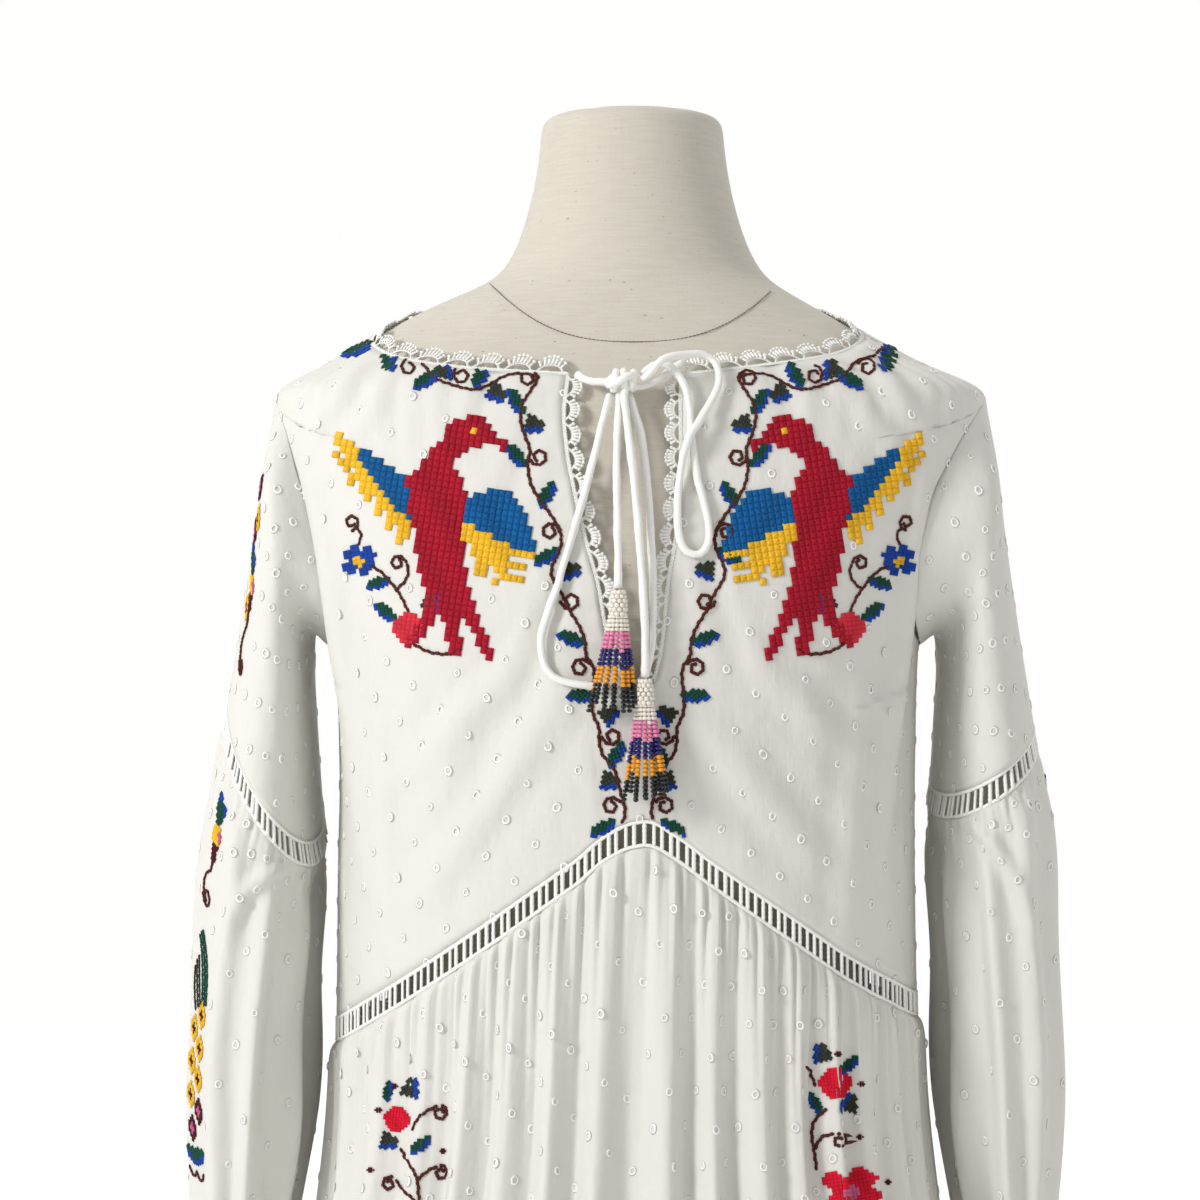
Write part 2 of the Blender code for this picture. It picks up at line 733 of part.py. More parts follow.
def even_places(curve, start, end, distances):
    """Parameters of a curve at given shares of its length."""
    steps = 400
    lengths = [0.0]
    before = curve(start)
    for index in range(1, steps + 1):
        here = curve(start + (end - start) * index / steps)
        lengths.append(lengths[-1] + (here - before).length)
        before = here
    places = []
    for share in distances:
        target = share * lengths[-1]
        index = min(max(bisect.bisect_left(lengths, target), 1), steps)
        part = (target - lengths[index - 1]) / (lengths[index] - lengths[index - 1])
        places.append(start + (end - start) * (index - 1 + part) / steps)
    return places, lengths[-1]


def ladder_shares(length):
    """Shares of a ladder's length where its bars and open cells begin."""
    cells = round(length / LADDER_PITCH)
    shares = [0.0]
    for cell in range(cells):
        shares.append((cell + LADDER_BAR_SHARE) / (cells + LADDER_BAR_SHARE))
        shares.append((cell + 1) / (cells + LADDER_BAR_SHARE))
    shares.append(1.0)
    return shares


def ladder_columns(curve, start, end):
    """Parameters of the columns of an open ladder and its open cells."""
    length = even_places(curve, start, end, (1.0,))[1]
    places = even_places(curve, start, end, ladder_shares(length))[0]
    skipped = {(1, column) for column in range(1, len(places) - 1, 2)}
    return places, skipped


def build_ladder_front():
    """The open ladder under the front yoke, an inverted V."""
    drops = (SEAM_GAP, LADDER_RAIL, LADDER_HEIGHT - LADDER_RAIL, LADDER_HEIGHT)

    def middle(angle):
        return below_yoke(angle, LADDER_HEIGHT / 2)

    ends = yoke_edge_angles()
    places, skipped = ladder_columns(middle, ends[0], ends[-1])
    grid = [[below_yoke(angle, drop) for angle in places] for drop in drops]
    return grid_wall("ladder_front", grid, LADDER_THREAD, LADDER_WALL, False, skipped)


def build_ladder_back():
    """The ladder under the back yoke, as a plain closed strip."""
    places = yoke_edge_angles(True)
    grid = [[below_yoke(angle, drop, 0.0, True) for angle in places] for drop in (SEAM_GAP, LADDER_HEIGHT)]
    return grid_wall("ladder_back", grid, LADDER_THREAD, LADDER_WALL)


def fold_columns(folds, per_fold=4):
    """Columns of a folded panel: angles at the top and hem, and fold height."""
    columns = []
    for here, after in zip(folds[:-1], folds[1:]):
        for part in range(per_fold):
            share = part / per_fold
            wave = (1 - math.cos(2 * math.pi * share)) / 2
            height = (here[2] * (1 - share) + after[2] * share) * (wave - 0.5)
            top = here[0] + (after[0] - here[0]) * share
            hem = here[1] + (after[1] - here[1]) * share
            columns.append((top, hem, height))
    columns.append((folds[-1][0], folds[-1][1], -0.5 * folds[-1][2]))
    return columns


def build_skirt(name, folds, rows, back):
    """A gathered skirt panel from the ladder to the hem."""
    columns = fold_columns(folds)
    grid = []
    for share in rows:
        line = []
        growth = read_table(FOLD_GROWTH, share, 1)
        spread = min(share * 1.6, 1.0)
        for index, (top_angle, hem_angle, fold) in enumerate(columns):
            angle = top_angle + (hem_angle - top_angle) * spread
            top = ladder_top(angle) - LADDER_HEIGHT - SEAM_GAP
            height = top + (HEM_HEIGHT - top) * share
            edge = seam_angle(height, back)
            if index == 0:
                angle += edge
            if index == len(columns) - 1:
                angle -= edge
            outward = fold * growth * 2
            if share == 0:
                line.append(below_yoke(angle, LADDER_HEIGHT + SEAM_GAP, outward, back))
            else:
                line.append(dress_point(angle, height, outward))
        grid.append(line)
    return grid_wall(name, grid, VOILE)


def sleeve_point(row, phase, wave=0.0):
    """Point of a sleeve section; phase 0 outer edge, pi inner edge."""
    outer_x, outer_height, inner_x, inner_height, depth, drop = row[:6]
    centre = Vector(((outer_x + inner_x) / 2, 0.0, (outer_height + inner_height) / 2))
    half = Vector(((outer_x - inner_x) / 2, 0.0, (outer_height - inner_height) / 2))
    outward = Vector((math.copysign(math.cos(phase), math.cos(phase) * outer_x), -math.sin(phase), 0.0))
    front_drop = Vector((0.0, 0.0, -drop * math.sin(phase)))
    return (centre + half * math.cos(phase) + Vector((0.0, -depth * math.sin(phase), 0.0))
            + front_drop + outward * wave)


def armhole_point(phase, positive):
    """Point of the sleeve's top edge, just off the yoke's armhole edge."""
    def edge(at):
        swing, height = armhole(at, positive)
        return dress_point(swing if positive else 180 - swing, height)

    def inner(at):
        swing, height = armhole(at, positive)
        drift = swing + math.copysign(2.0, swing) * abs(math.sin(at))
        lean = 0.004 * math.cos(at)
        return dress_point(drift if positive else 180 - drift, height + lean)

    step = math.pi / ARMHOLE_STEPS
    low = math.floor(phase / step + 0.001)
    place = edge(low * step).lerp(edge((low + 1) * step), max(phase / step - low, 0.0))
    tangent = (edge(phase + 0.02) - edge(phase - 0.02)).normalized()
    away = edge(phase) - inner(phase)
    away -= tangent * away.dot(tangent)
    return place + away.normalized() * ARMHOLE_GAP


def sleeve_phases(count):
    """Evenly spaced phases round a sleeve."""
    return [2 * math.pi * index / count for index in range(count)]


def build_upper_sleeve(positive, columns=4 * ARMHOLE_STEPS):
    """Upper sleeve from the armhole to its ladder."""
    table = UPPER_SLEEVE_RIGHT if positive else UPPER_SLEEVE_LEFT
    phases = sleeve_phases(columns)
    grid = [[armhole_point(phase, positive) for phase in phases]]
    grid += [[sleeve_point(row, phase) for phase in phases] for row in table]
    name = "sleeve_right" if positive else "sleeve_left"
    return grid_wall(name, grid, VOILE, WALL, True)


def blend_rows(first, second, share):
    """Section row between two rows."""
    return tuple(a + (b - a) * share for a, b in zip(first, second))


def sleeve_ladder_rows(positive):
    """Upper and lower section rows of a sleeve's ladder."""
    upper = (UPPER_SLEEVE_RIGHT if positive else UPPER_SLEEVE_LEFT)[-1]
    lower = (LOWER_SLEEVE_RIGHT if positive else LOWER_SLEEVE_LEFT)[0][:6]
    share = SEAM_GAP / SLEEVE_LADDER_DROP
    return blend_rows(upper, lower, share), blend_rows(upper, lower, 1 - share)


def build_sleeve_ladder(positive, columns=4 * ARMHOLE_STEPS):
    """Ladder round a sleeve, as a plain closed tube."""
    grid = [[sleeve_point(row, phase) for phase in sleeve_phases(columns)] for row in sleeve_ladder_rows(positive)]
    name = "sleeve_ladder_right" if positive else "sleeve_ladder_left"
    return grid_wall(name, grid, LADDER_THREAD, LADDER_WALL, True)


def build_lower_sleeve(positive):
    """Gathered lower sleeve from the ladder to the cuff."""
    table = LOWER_SLEEVE_RIGHT if positive else LOWER_SLEEVE_LEFT
    grid = []
    for row in table:
        line = []
        for phase in sleeve_phases(SLEEVE_GATHERS * 4):
            wave = row[6] * math.cos(SLEEVE_GATHERS * phase + 0.5 * math.sin(phase))
            line.append(sleeve_point(row, phase, wave))
        grid.append(line)
    name = "lower_sleeve_right" if positive else "lower_sleeve_left"
    return grid_wall(name, grid, VOILE, WALL, True)


def build_cuff(positive, columns=16):
    """Narrow plain cuff that takes the sleeve's gathers."""
    last = (LOWER_SLEEVE_RIGHT if positive else LOWER_SLEEVE_LEFT)[-1]
    grid = []
    for drop in (SEAM_GAP, CUFF_HEIGHT):
        row = (last[0], last[1] - drop, last[2], last[3] - drop, last[4], 0.0)
        grid.append([sleeve_point(row, phase) for phase in sleeve_phases(columns)])
    name = "cuff_right" if positive else "cuff_left"
    return grid_wall(name, grid, VOILE, WALL, True)


def smooth_route(route, spacing):
    """Evenly spaced points of a smooth curve through route points in millimetres."""
    knots = [Vector(point) / 1000 for point in route]
    dense = []
    for index in range(len(knots) - 1):
        p1, p2 = knots[index], knots[index + 1]
        p0 = knots[index - 1] if index else p1 * 2 - p2
        p3 = knots[index + 2] if index + 2 < len(knots) else p2 * 2 - p1
        for step in range(12):
            t = step / 12
            dense.append(0.5 * (2 * p1 + (p2 - p0) * t + (2 * p0 - 5 * p1 + 4 * p2 - p3) * t ** 2
                                + (3 * p1 - p0 - 3 * p2 + p3) * t ** 3))
    dense.append(knots[-1])
    lengths = [0.0]
    for before, here in zip(dense[:-1], dense[1:]):
        lengths.append(lengths[-1] + (here - before).length)
    count = max(round(lengths[-1] / spacing), 2)
    points = []
    for index in range(count + 1):
        target = lengths[-1] * index / count
        right = min(max(bisect.bisect_left(lengths, target), 1), len(dense) - 1)
        part = (target - lengths[right - 1]) / (lengths[right] - lengths[right - 1])
        points.append(dense[right - 1].lerp(dense[right], part))
    return points


def build_cord(name, route):
    """One stretch of the rouleau tie as a round tube."""
    curve = bpy.data.curves.new(name, "CURVE")
    curve.dimensions = "3D"
    curve.bevel_depth = TIE_RADIUS
    curve.bevel_resolution = 2
    curve.use_fill_caps = True
    points = smooth_route(route, TIE_POINT_SPACING)
    spline = curve.splines.new("POLY")
    spline.points.add(len(points) - 1)
    for slot, point in zip(spline.points, points):
        slot.co = (*point, 1.0)
    curve.materials.append(material(TIE_COTTON))
    made = bpy.data.objects.new(name, curve)
    bpy.context.scene.collection.objects.link(made)
    return made


def build_knot():
    """The tie's knot, a rounded block of wraps."""
    mesh = bpy.data.meshes.new("tie_knot")
    block = bmesh.new()
    bmesh.ops.create_cube(block, size=1.0)
    bmesh.ops.scale(block, vec=KNOT_SIZE, verts=block.verts)
    bmesh.ops.bevel(block, geom=list(block.edges), offset=0.0032, segments=2, affect="EDGES", profile=0.5)
    block.to_mesh(mesh)
    block.free()
    mesh.materials.append(material(TIE_COTTON))
    mesh.shade_smooth()
    knot = bpy.data.objects.new("tie_knot", mesh)
    knot.location = KNOT_CENTRE
    bpy.context.scene.collection.objects.link(knot)
    return knot


def build_tassel(name, cord_end, spread, lean):
    """A beaded tassel: a head with nine strands fused at their roots."""
    mesh = bpy.data.meshes.new(name)
    shape = bmesh.new()
    half = TASSEL_HEAD_WIDTH / 2
    bmesh.ops.create_grid(shape, x_segments=3, y_segments=3, size=half)
    underside = list(shape.faces)
    for face in underside:
        face.normal_flip()
    rim = [edge for edge in shape.edges if edge.is_boundary]
    wall = bmesh.ops.extrude_edge_only(shape, edges=rim)
    top_verts = [item for item in wall["geom"] if isinstance(item, bmesh.types.BMVert)]
    for vert in top_verts:
        vert.co.z = TASSEL_HEAD_LENGTH
        vert.co.x *= 0.8
        vert.co.y *= 0.8
    top_edges = [item for item in wall["geom"] if isinstance(item, bmesh.types.BMEdge)
                 and all(end.co.z > 0 for end in item.verts)]
    bmesh.ops.contextual_create(shape, geom=top_edges)
    bmesh.ops.inset_individual(shape, faces=underside, thickness=0.00035)
    for step in range(2):
        pushed = bmesh.ops.extrude_discrete_faces(shape, faces=underside)
        underside = pushed["faces"]
        reach = (step + 1) / 2
        for face in underside:
            middle = face.calc_center_median()
            grow = Vector((middle.x * (spread[step] - 1) + lean * TASSEL_STRAND_LENGTH * 0.5,
                           middle.y * 0.18, 0.0))
            uneven = 1 - 0.05 * abs(math.sin(700 * middle.x + 400 * middle.y))
            for vert in face.verts:
                vert.co.z = -TASSEL_STRAND_LENGTH * reach * uneven
                vert.co += grow
    bmesh.ops.recalc_face_normals(shape, faces=shape.faces)
    shape.to_mesh(mesh)
    shape.free()
    mesh.materials.append(material(BEADS))
    tassel = bpy.data.objects.new(name, mesh)
    x, y, height = (value / 1000 for value in cord_end)
    tassel.location = (x, y, height - TASSEL_GAP - TASSEL_HEAD_LENGTH)
    bpy.context.scene.collection.objects.link(tassel)
    return tassel


def build_form_body(columns=24):
    """The linen-covered torso and neck, a closed solid of revolved sections."""
    points = []
    for row in FORM_SECTIONS:
        for column in range(columns):
            points.append(section_point(FORM_SECTIONS, 360 * column / columns, row[0], 0.0, row[5]))
    rows = len(FORM_SECTIONS)
    faces = grid_faces(rows, columns, 0, True)
    faces.append(tuple(range(columns)))
    faces.append(tuple(reversed(range((rows - 1) * columns, rows * columns))))
    return solid_object("form_body", points, faces, LINEN)


def turned_object(name, profile, finish, columns=32):
    """A closed solid turned from rows of radius and height."""
    points = []
    for radius, height in profile:
        for column in range(columns):
            turn = 2 * math.pi * column / columns
            points.append((radius * math.cos(turn), radius * math.sin(turn), height))
    rows = len(profile)
    faces = grid_faces(rows, columns, 0, True)
    faces.append(tuple(range(columns)))
    faces.append(tuple(reversed(range((rows - 1) * columns, rows * columns))))
    return solid_object(name, points, faces, finish)


def build_stand():
    """Round base, pole and the flange that carries the form."""
    edge = 0.0025
    turned_object("stand_base", (
        (BASE_RADIUS, 0.0),
        (BASE_RADIUS, BASE_THICKNESS - edge),
        (BASE_RADIUS - edge, BASE_THICKNESS),
    ), STAND_STEEL, 32)
    flange_bottom = FORM_BOTTOM - SEAM_GAP / 2 - FLANGE_THICKNESS
    turned_object("stand_pole", (
        (POLE_RADIUS, BASE_THICKNESS + SEAM_GAP / 2),
        (POLE_RADIUS, flange_bottom - SEAM_GAP / 2),
    ), STAND_STEEL, 20)
    turned_object("stand_flange", (
        (FLANGE_RADIUS - edge, flange_bottom),
        (FLANGE_RADIUS, flange_bottom + edge),
        (FLANGE_RADIUS, flange_bottom + FLANGE_THICKNESS),
    ), STAND_STEEL, 24)


def main():
    """Build every piece of the dress and its form."""
    remove_scene_objects()
    build_form_body()
    build_stand()
    build_yoke_front()
    build_yoke_back()
    build_neck_trim_back()
    build_ladder_front()
    build_ladder_back()
    build_skirt("skirt_front", FOLDS_FRONT, SKIRT_ROWS_FRONT, False)
    build_skirt("skirt_back", FOLDS_BACK, SKIRT_ROWS_BACK, True)
    for positive in (True, False):
        build_slit_trim(positive)
        build_neck_trim(positive)
        build_upper_sleeve(positive)
        build_sleeve_ladder(positive)
        build_lower_sleeve(positive)
        build_cuff(positive)
    build_knot()
    build_cord("tie_bridge_left", LEFT_BRIDGE)
    build_cord("tie_bridge_right", RIGHT_BRIDGE)
    build_cord("tie_loop_left", LEFT_LOOP)
    build_cord("tie_loop_right", RIGHT_LOOP)
    build_cord("tie_end_one", END_ONE)
    build_cord("tie_end_two", END_TWO)
    build_tassel("tassel_one", END_ONE[-1], (1.9, 1.6), -0.05)
    build_tassel("tassel_two", END_TWO[-1], (1.7, 1.5), 0.0)


main()
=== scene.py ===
"""A pollera dress of dotted cotton voile on a limbless linen dress form.

Metres, +Z up. The dress faces -Y and the wearer's right side is at -X. Pixel
places are in the photograph's frame of 1200 by 1200.
"""

import logging
import math
from bisect import bisect_right
from collections.abc import Callable, Sequence
from dataclasses import dataclass, field
from enum import Enum
from random import Random

import bmesh
import bpy
from mathutils import Matrix, Vector
from mathutils.bvhtree import BVHTree
from mathutils.kdtree import KDTree


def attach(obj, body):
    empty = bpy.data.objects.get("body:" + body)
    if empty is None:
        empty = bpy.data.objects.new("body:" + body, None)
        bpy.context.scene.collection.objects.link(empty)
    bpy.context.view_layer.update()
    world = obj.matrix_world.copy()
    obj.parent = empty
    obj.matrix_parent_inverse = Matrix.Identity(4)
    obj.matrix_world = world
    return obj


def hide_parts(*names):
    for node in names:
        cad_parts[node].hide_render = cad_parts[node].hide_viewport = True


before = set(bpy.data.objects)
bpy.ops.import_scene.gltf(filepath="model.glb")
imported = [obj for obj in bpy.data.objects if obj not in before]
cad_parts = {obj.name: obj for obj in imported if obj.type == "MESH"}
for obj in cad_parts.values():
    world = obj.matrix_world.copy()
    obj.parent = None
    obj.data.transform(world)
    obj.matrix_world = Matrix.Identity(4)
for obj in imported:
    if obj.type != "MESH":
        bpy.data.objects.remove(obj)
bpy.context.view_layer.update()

log = logging.getLogger("pollera")

Row = tuple[float, ...]
Table = tuple[Row, ...]
Grid = list[list[Vector]]
Pair = tuple[float, float]
Weave = list[list[Pair]]
Colour = tuple[float, float, float, float]
Found = tuple[Vector, Vector] | None
Finder = Callable[[float, float], Found]
Surface = Callable[[float, float], Vector]
Route = Callable[[float], Vector]
Edge = Callable[[float], Pair]
Edges = tuple[Edge, ...]
Piece = bpy.types.Object
Material = bpy.types.Material

BODY = "root"
MILLIMETRE = 0.001
# x, y and height of the photograph's camera
EYE = (-0.020, -1.600, 1.250)


class Side(Enum):
    """The two sides of the dress, by the sign of X."""

    LEFT = -1
    RIGHT = 1


class Axis(Enum):
    """Columns of the body section tables."""

    HALF_LEFT = 1
    HALF_RIGHT = 2
    DEPTH_FRONT = 3
    DEPTH_BACK = 4


# Tables that repeat the solids' own sizes, in metres.
# height, half width at -X, half width at +X, depth in front, depth behind
DRESS_SECTIONS: Table = (
    (0.42, 0.29, 0.28, 0.24, 0.215),
    (0.56, 0.264, 0.254, 0.214, 0.186),
    (0.7, 0.232, 0.224, 0.186, 0.158),
    (0.794, 0.208, 0.201, 0.168, 0.14),
    (0.878, 0.19, 0.184, 0.152, 0.124),
    (0.98, 0.182, 0.175, 0.134, 0.109),
    (1.118, 0.181, 0.173, 0.136, 0.104),
    (1.18, 0.182, 0.174, 0.138, 0.107),
    (1.22, 0.187, 0.176, 0.137, 0.11),
    (1.26, 0.197, 0.184, 0.133, 0.112),
    (1.3, 0.209, 0.199, 0.126, 0.111),
    (1.34, 0.2175, 0.2125, 0.116, 0.107),
    (1.374, 0.2196, 0.2175, 0.101, 0.099),
    (1.4, 0.182, 0.17, 0.083, 0.09),
    (1.427, 0.142, 0.124, 0.062, 0.077),
    (1.44, 0.105, 0.099, 0.056, 0.072),
    (1.467, 0.076, 0.076, 0.05, 0.069),
)
# angle from +X towards the front, height of the ladder's upper edge
LADDER_FRONT_TOP: Table = (
    (0, 1.0095), (18, 1.0165), (33, 1.028), (47, 1.043), (65, 1.073), (79, 1.102), (85, 1.1175),
    (89, 1.1255), (93, 1.118), (98, 1.102), (122, 1.0505), (142, 1.021), (162, 1.002), (180, 0.993),
)
# height, x at the -X edge, x at the +X edge
SLIT_EDGES: Table = (
    (1.1935, 0.0015, 0.0015), (1.2068, -0.009, 0.0124), (1.229, -0.017, 0.017),
    (1.258, -0.0223, 0.0199), (1.285, -0.0297, 0.0246), (1.31, -0.0355, 0.0271),
    (1.335, -0.0402, 0.0279), (1.357, -0.0422, 0.0279), (1.381, -0.04, 0.0287),
)
# share of the way in angle, height at -X, height at +X
NECKLINE_FRONT: Table = (
    (0.00, 1.381, 1.381), (0.18, 1.385, 1.388), (0.4, 1.3925, 1.396), (0.65, 1.404, 1.408),
    (0.85, 1.417, 1.419), (1.00, 1.427, 1.427),
)
# valley angle at the gathered edge, at the hem, depth of the fold
FOLDS_FRONT: Table = (
    (0.0, 0.0, 0.4), (16.0, 14.0, 0.7), (29.0, 27.0, 0.9), (40.0, 37.0, 0.7), (50.0, 48.0, 1.1),
    (58.5, 60.0, 0.8), (66.5, 67.0, 1.0), (75.0, 77.0, 0.9), (82.5, 84.0, 1.1), (89.5, 92.0, 0.9),
    (96.5, 101.0, 1.0), (104.0, 108.0, 0.8), (112.0, 118.0, 1.0), (121.0, 127.0, 0.8), (133.0, 138.0, 0.9),
    (147.0, 151.0, 0.8), (163.0, 165.0, 0.5), (180.0, 180.0, 0.4),
)
FOLDS_BACK: Table = (
    (180.0, 180.0, 0.4), (198.0, 196.0, 0.8), (213.0, 211.0, 1.0), (227.0, 226.0, 0.8), (240.0, 239.0, 1.0),
    (253.0, 251.0, 0.9), (266.0, 264.0, 1.1), (279.0, 279.0, 0.9), (292.0, 293.0, 1.0), (306.0, 307.0, 0.8),
    (322.0, 324.0, 0.9), (341.0, 342.0, 0.6), (360.0, 360.0, 0.4),
)
# share of the way down the skirt, fold height
FOLD_GROWTH: Table = (
    (0.00, 0.0006), (0.05, 0.0022), (0.15, 0.0045), (0.35, 0.0085), (0.6, 0.0135), (1.00, 0.02),
)
# outer x, outer height, inner x, inner height, half depth, front drop, gathers
UPPER_SLEEVES: dict[Side, Table] = {
    Side.RIGHT: (
        (0.2215, 1.349, 0.1875, 1.228, 0.073, 0.004, 0.0),
        (0.2275, 1.303, 0.191, 1.204, 0.071, 0.007, 0.0),
        (0.237, 1.24, 0.1885, 1.168, 0.07, 0.008, 0.0),
        (0.2465, 1.176, 0.186, 1.134, 0.072, 0.008, 0.0),
    ),
    Side.LEFT: (
        (-0.2235, 1.35, -0.197, 1.228, 0.073, 0.004, 0.0),
        (-0.231, 1.308, -0.199, 1.2, 0.071, 0.01, 0.0),
        (-0.24, 1.25, -0.196, 1.152, 0.07, 0.016, 0.0),
        (-0.249, 1.192, -0.1925, 1.108, 0.072, 0.02, 0.0),
    ),
}
LOWER_SLEEVES: dict[Side, Table] = {
    Side.RIGHT: (
        (0.248, 1.161, 0.185, 1.119, 0.0725, 0.008, 0.0004),
        (0.2555, 1.135, 0.185, 1.094, 0.0775, 0.008, 0.0022),
        (0.26, 1.07, 0.1865, 1.03, 0.081, 0.006, 0.003),
        (0.262, 0.965, 0.19, 0.945, 0.082, 0.002, 0.0033),
        (0.258, 0.853, 0.206, 0.851, 0.062, 0.000, 0.003),
        (0.259, 0.8225, 0.216, 0.8225, 0.036, 0.000, 0.0004),
    ),
    Side.LEFT: (
        (-0.2505, 1.177, -0.1915, 1.093, 0.0725, 0.02, 0.0004),
        (-0.258, 1.145, -0.193, 1.072, 0.0775, 0.018, 0.0022),
        (-0.266, 1.075, -0.1945, 1.02, 0.082, 0.01, 0.003),
        (-0.272, 0.965, -0.198, 0.94, 0.083, 0.002, 0.0033),
        (-0.27, 0.853, -0.214, 0.851, 0.063, 0.000, 0.003),
        (-0.27, 0.8225, -0.225, 0.8225, 0.036, 0.000, 0.0004),
    ),
}


def read_table(rows: Table, place: float, column: int) -> float:
    """Read a column of a table along a smooth monotone curve.

    Args:
        rows: Rows in rising order of their first value.
        place: Where to read, in the first column's unit.
        column: The column to read.

    Returns:
        The value at the place, held at the table's ends.
    """
    keys = [row[0] for row in rows]
    values = [row[column] for row in rows]
    if place <= keys[0]:
        return values[0]
    if place >= keys[-1]:
        return values[-1]
    right = next(index for index, key in enumerate(keys) if key > place)
    left = right - 1

    def slope(index: int) -> float:
        """Rise of the curve at one row."""
        if index in (0, len(rows) - 1):
            other = 1 if index == 0 else index - 1
            return (values[other] - values[index]) / (keys[other] - keys[index])
        before = (values[index] - values[index - 1]) / (keys[index] - keys[index - 1])
        after = (values[index + 1] - values[index]) / (keys[index + 1] - keys[index])
        return 0.0 if before * after <= 0 else 2 * before * after / (before + after)

    width = keys[right] - keys[left]
    t = (place - keys[left]) / width
    start = values[left] + width * slope(left) * (t - 2 * t**2 + t**3)
    rise = (values[right] - values[left]) * (3 * t**2 - 2 * t**3)
    return start + rise + width * slope(right) * (t**3 - t**2)


def spline_point(points: Sequence[Vector], place: float) -> Vector:
    """Point of a smooth curve through points.

    Args:
        points: The points that the curve goes through.
        place: The place along them, a whole number at each point.

    Returns:
        The point of the curve.
    """
    low = min(max(int(place), 0), len(points) - 2)
    t = place - low
    p1, p2 = points[low], points[low + 1]
    p0 = points[low - 1] if low else p1 * 2 - p2
    p3 = points[low + 2] if low + 2 < len(points) else p2 * 2 - p1
    cubic = 3 * p1 - p0 - 3 * p2 + p3
    square = 2 * p0 - 5 * p1 + 4 * p2 - p3
    return 0.5 * (2 * p1 + (p2 - p0) * t + square * t**2 + cubic * t**3)


def lengths_along(points: Sequence[Vector]) -> list[float]:
    """Length of a line up to each of its points."""
    run = [0.0]
    for before, here in zip(points[:-1], points[1:]):
        run.append(run[-1] + (here - before).length)
    return run


def share_at(run: Sequence[float], length: float) -> float:
    """Share of a line's steps at a length along it.

    Args:
        run: Length up to each point of the line.
        length: The length to find.

    Returns:
        The share, from 0 at the first point to 1 at the last.
    """
    low = min(max(bisect_right(run, length) - 1, 0), len(run) - 2)
    return (low + (length - run[low]) / max(run[low + 1] - run[low], 1e-9)) / (len(run) - 1)


def even_curve(points: Sequence[Vector], spacing: float, detail: int = 16) -> list[Vector]:
    """Evenly spaced points of a smooth curve through points.

    Args:
        points: The points that the curve goes through.
        spacing: The distance wanted between the new points.
        detail: How finely each span is measured.

    Returns:
        The new points, both ends among them.
    """
    spans = len(points) - 1
    dense = [spline_point(points, spans * step / (spans * detail)) for step in range(spans * detail + 1)]
    run = lengths_along(dense)
    count = max(round(run[-1] / spacing), 1)
    places = [share_at(run, run[-1] * index / count) * spans for index in range(count + 1)]
    return [spline_point(points, place) for place in places]


@dataclass(frozen=True)
class View:
    """The photograph's camera, level and square to the dress."""

    eye: Vector = field(default_factory=lambda: Vector(EYE))
    frame_width: float = 0.744
    pixels: float = 1200.0
    sensor: float = 36.0

    def ray(self, x: float, y: float) -> Vector:
        """Direction through a pixel of the photograph."""
        step = self.frame_width / self.pixels
        return Vector(((x - 600) * step, -self.eye.y, (600 - y) * step)).normalized()

    def build(self) -> Piece:
        """Make the camera and give it to the scene.

        Returns:
            The camera's object.
        """
        data = bpy.data.cameras.new("photo_view")
        data.sensor_width = self.sensor
        data.lens = self.sensor * -self.eye.y / self.frame_width
        data.clip_end = 50
        camera = linked("photo_view", data)
        camera.location = self.eye
        camera.rotation_euler = (math.radians(90), 0, 0)
        bpy.context.scene.camera = camera
        return camera


def linked(name: str, data: bpy.types.ID) -> Piece:
    """Make an object of some data in the scene."""
    made = bpy.data.objects.new(name, data)
    bpy.context.scene.collection.objects.link(made)
    return made


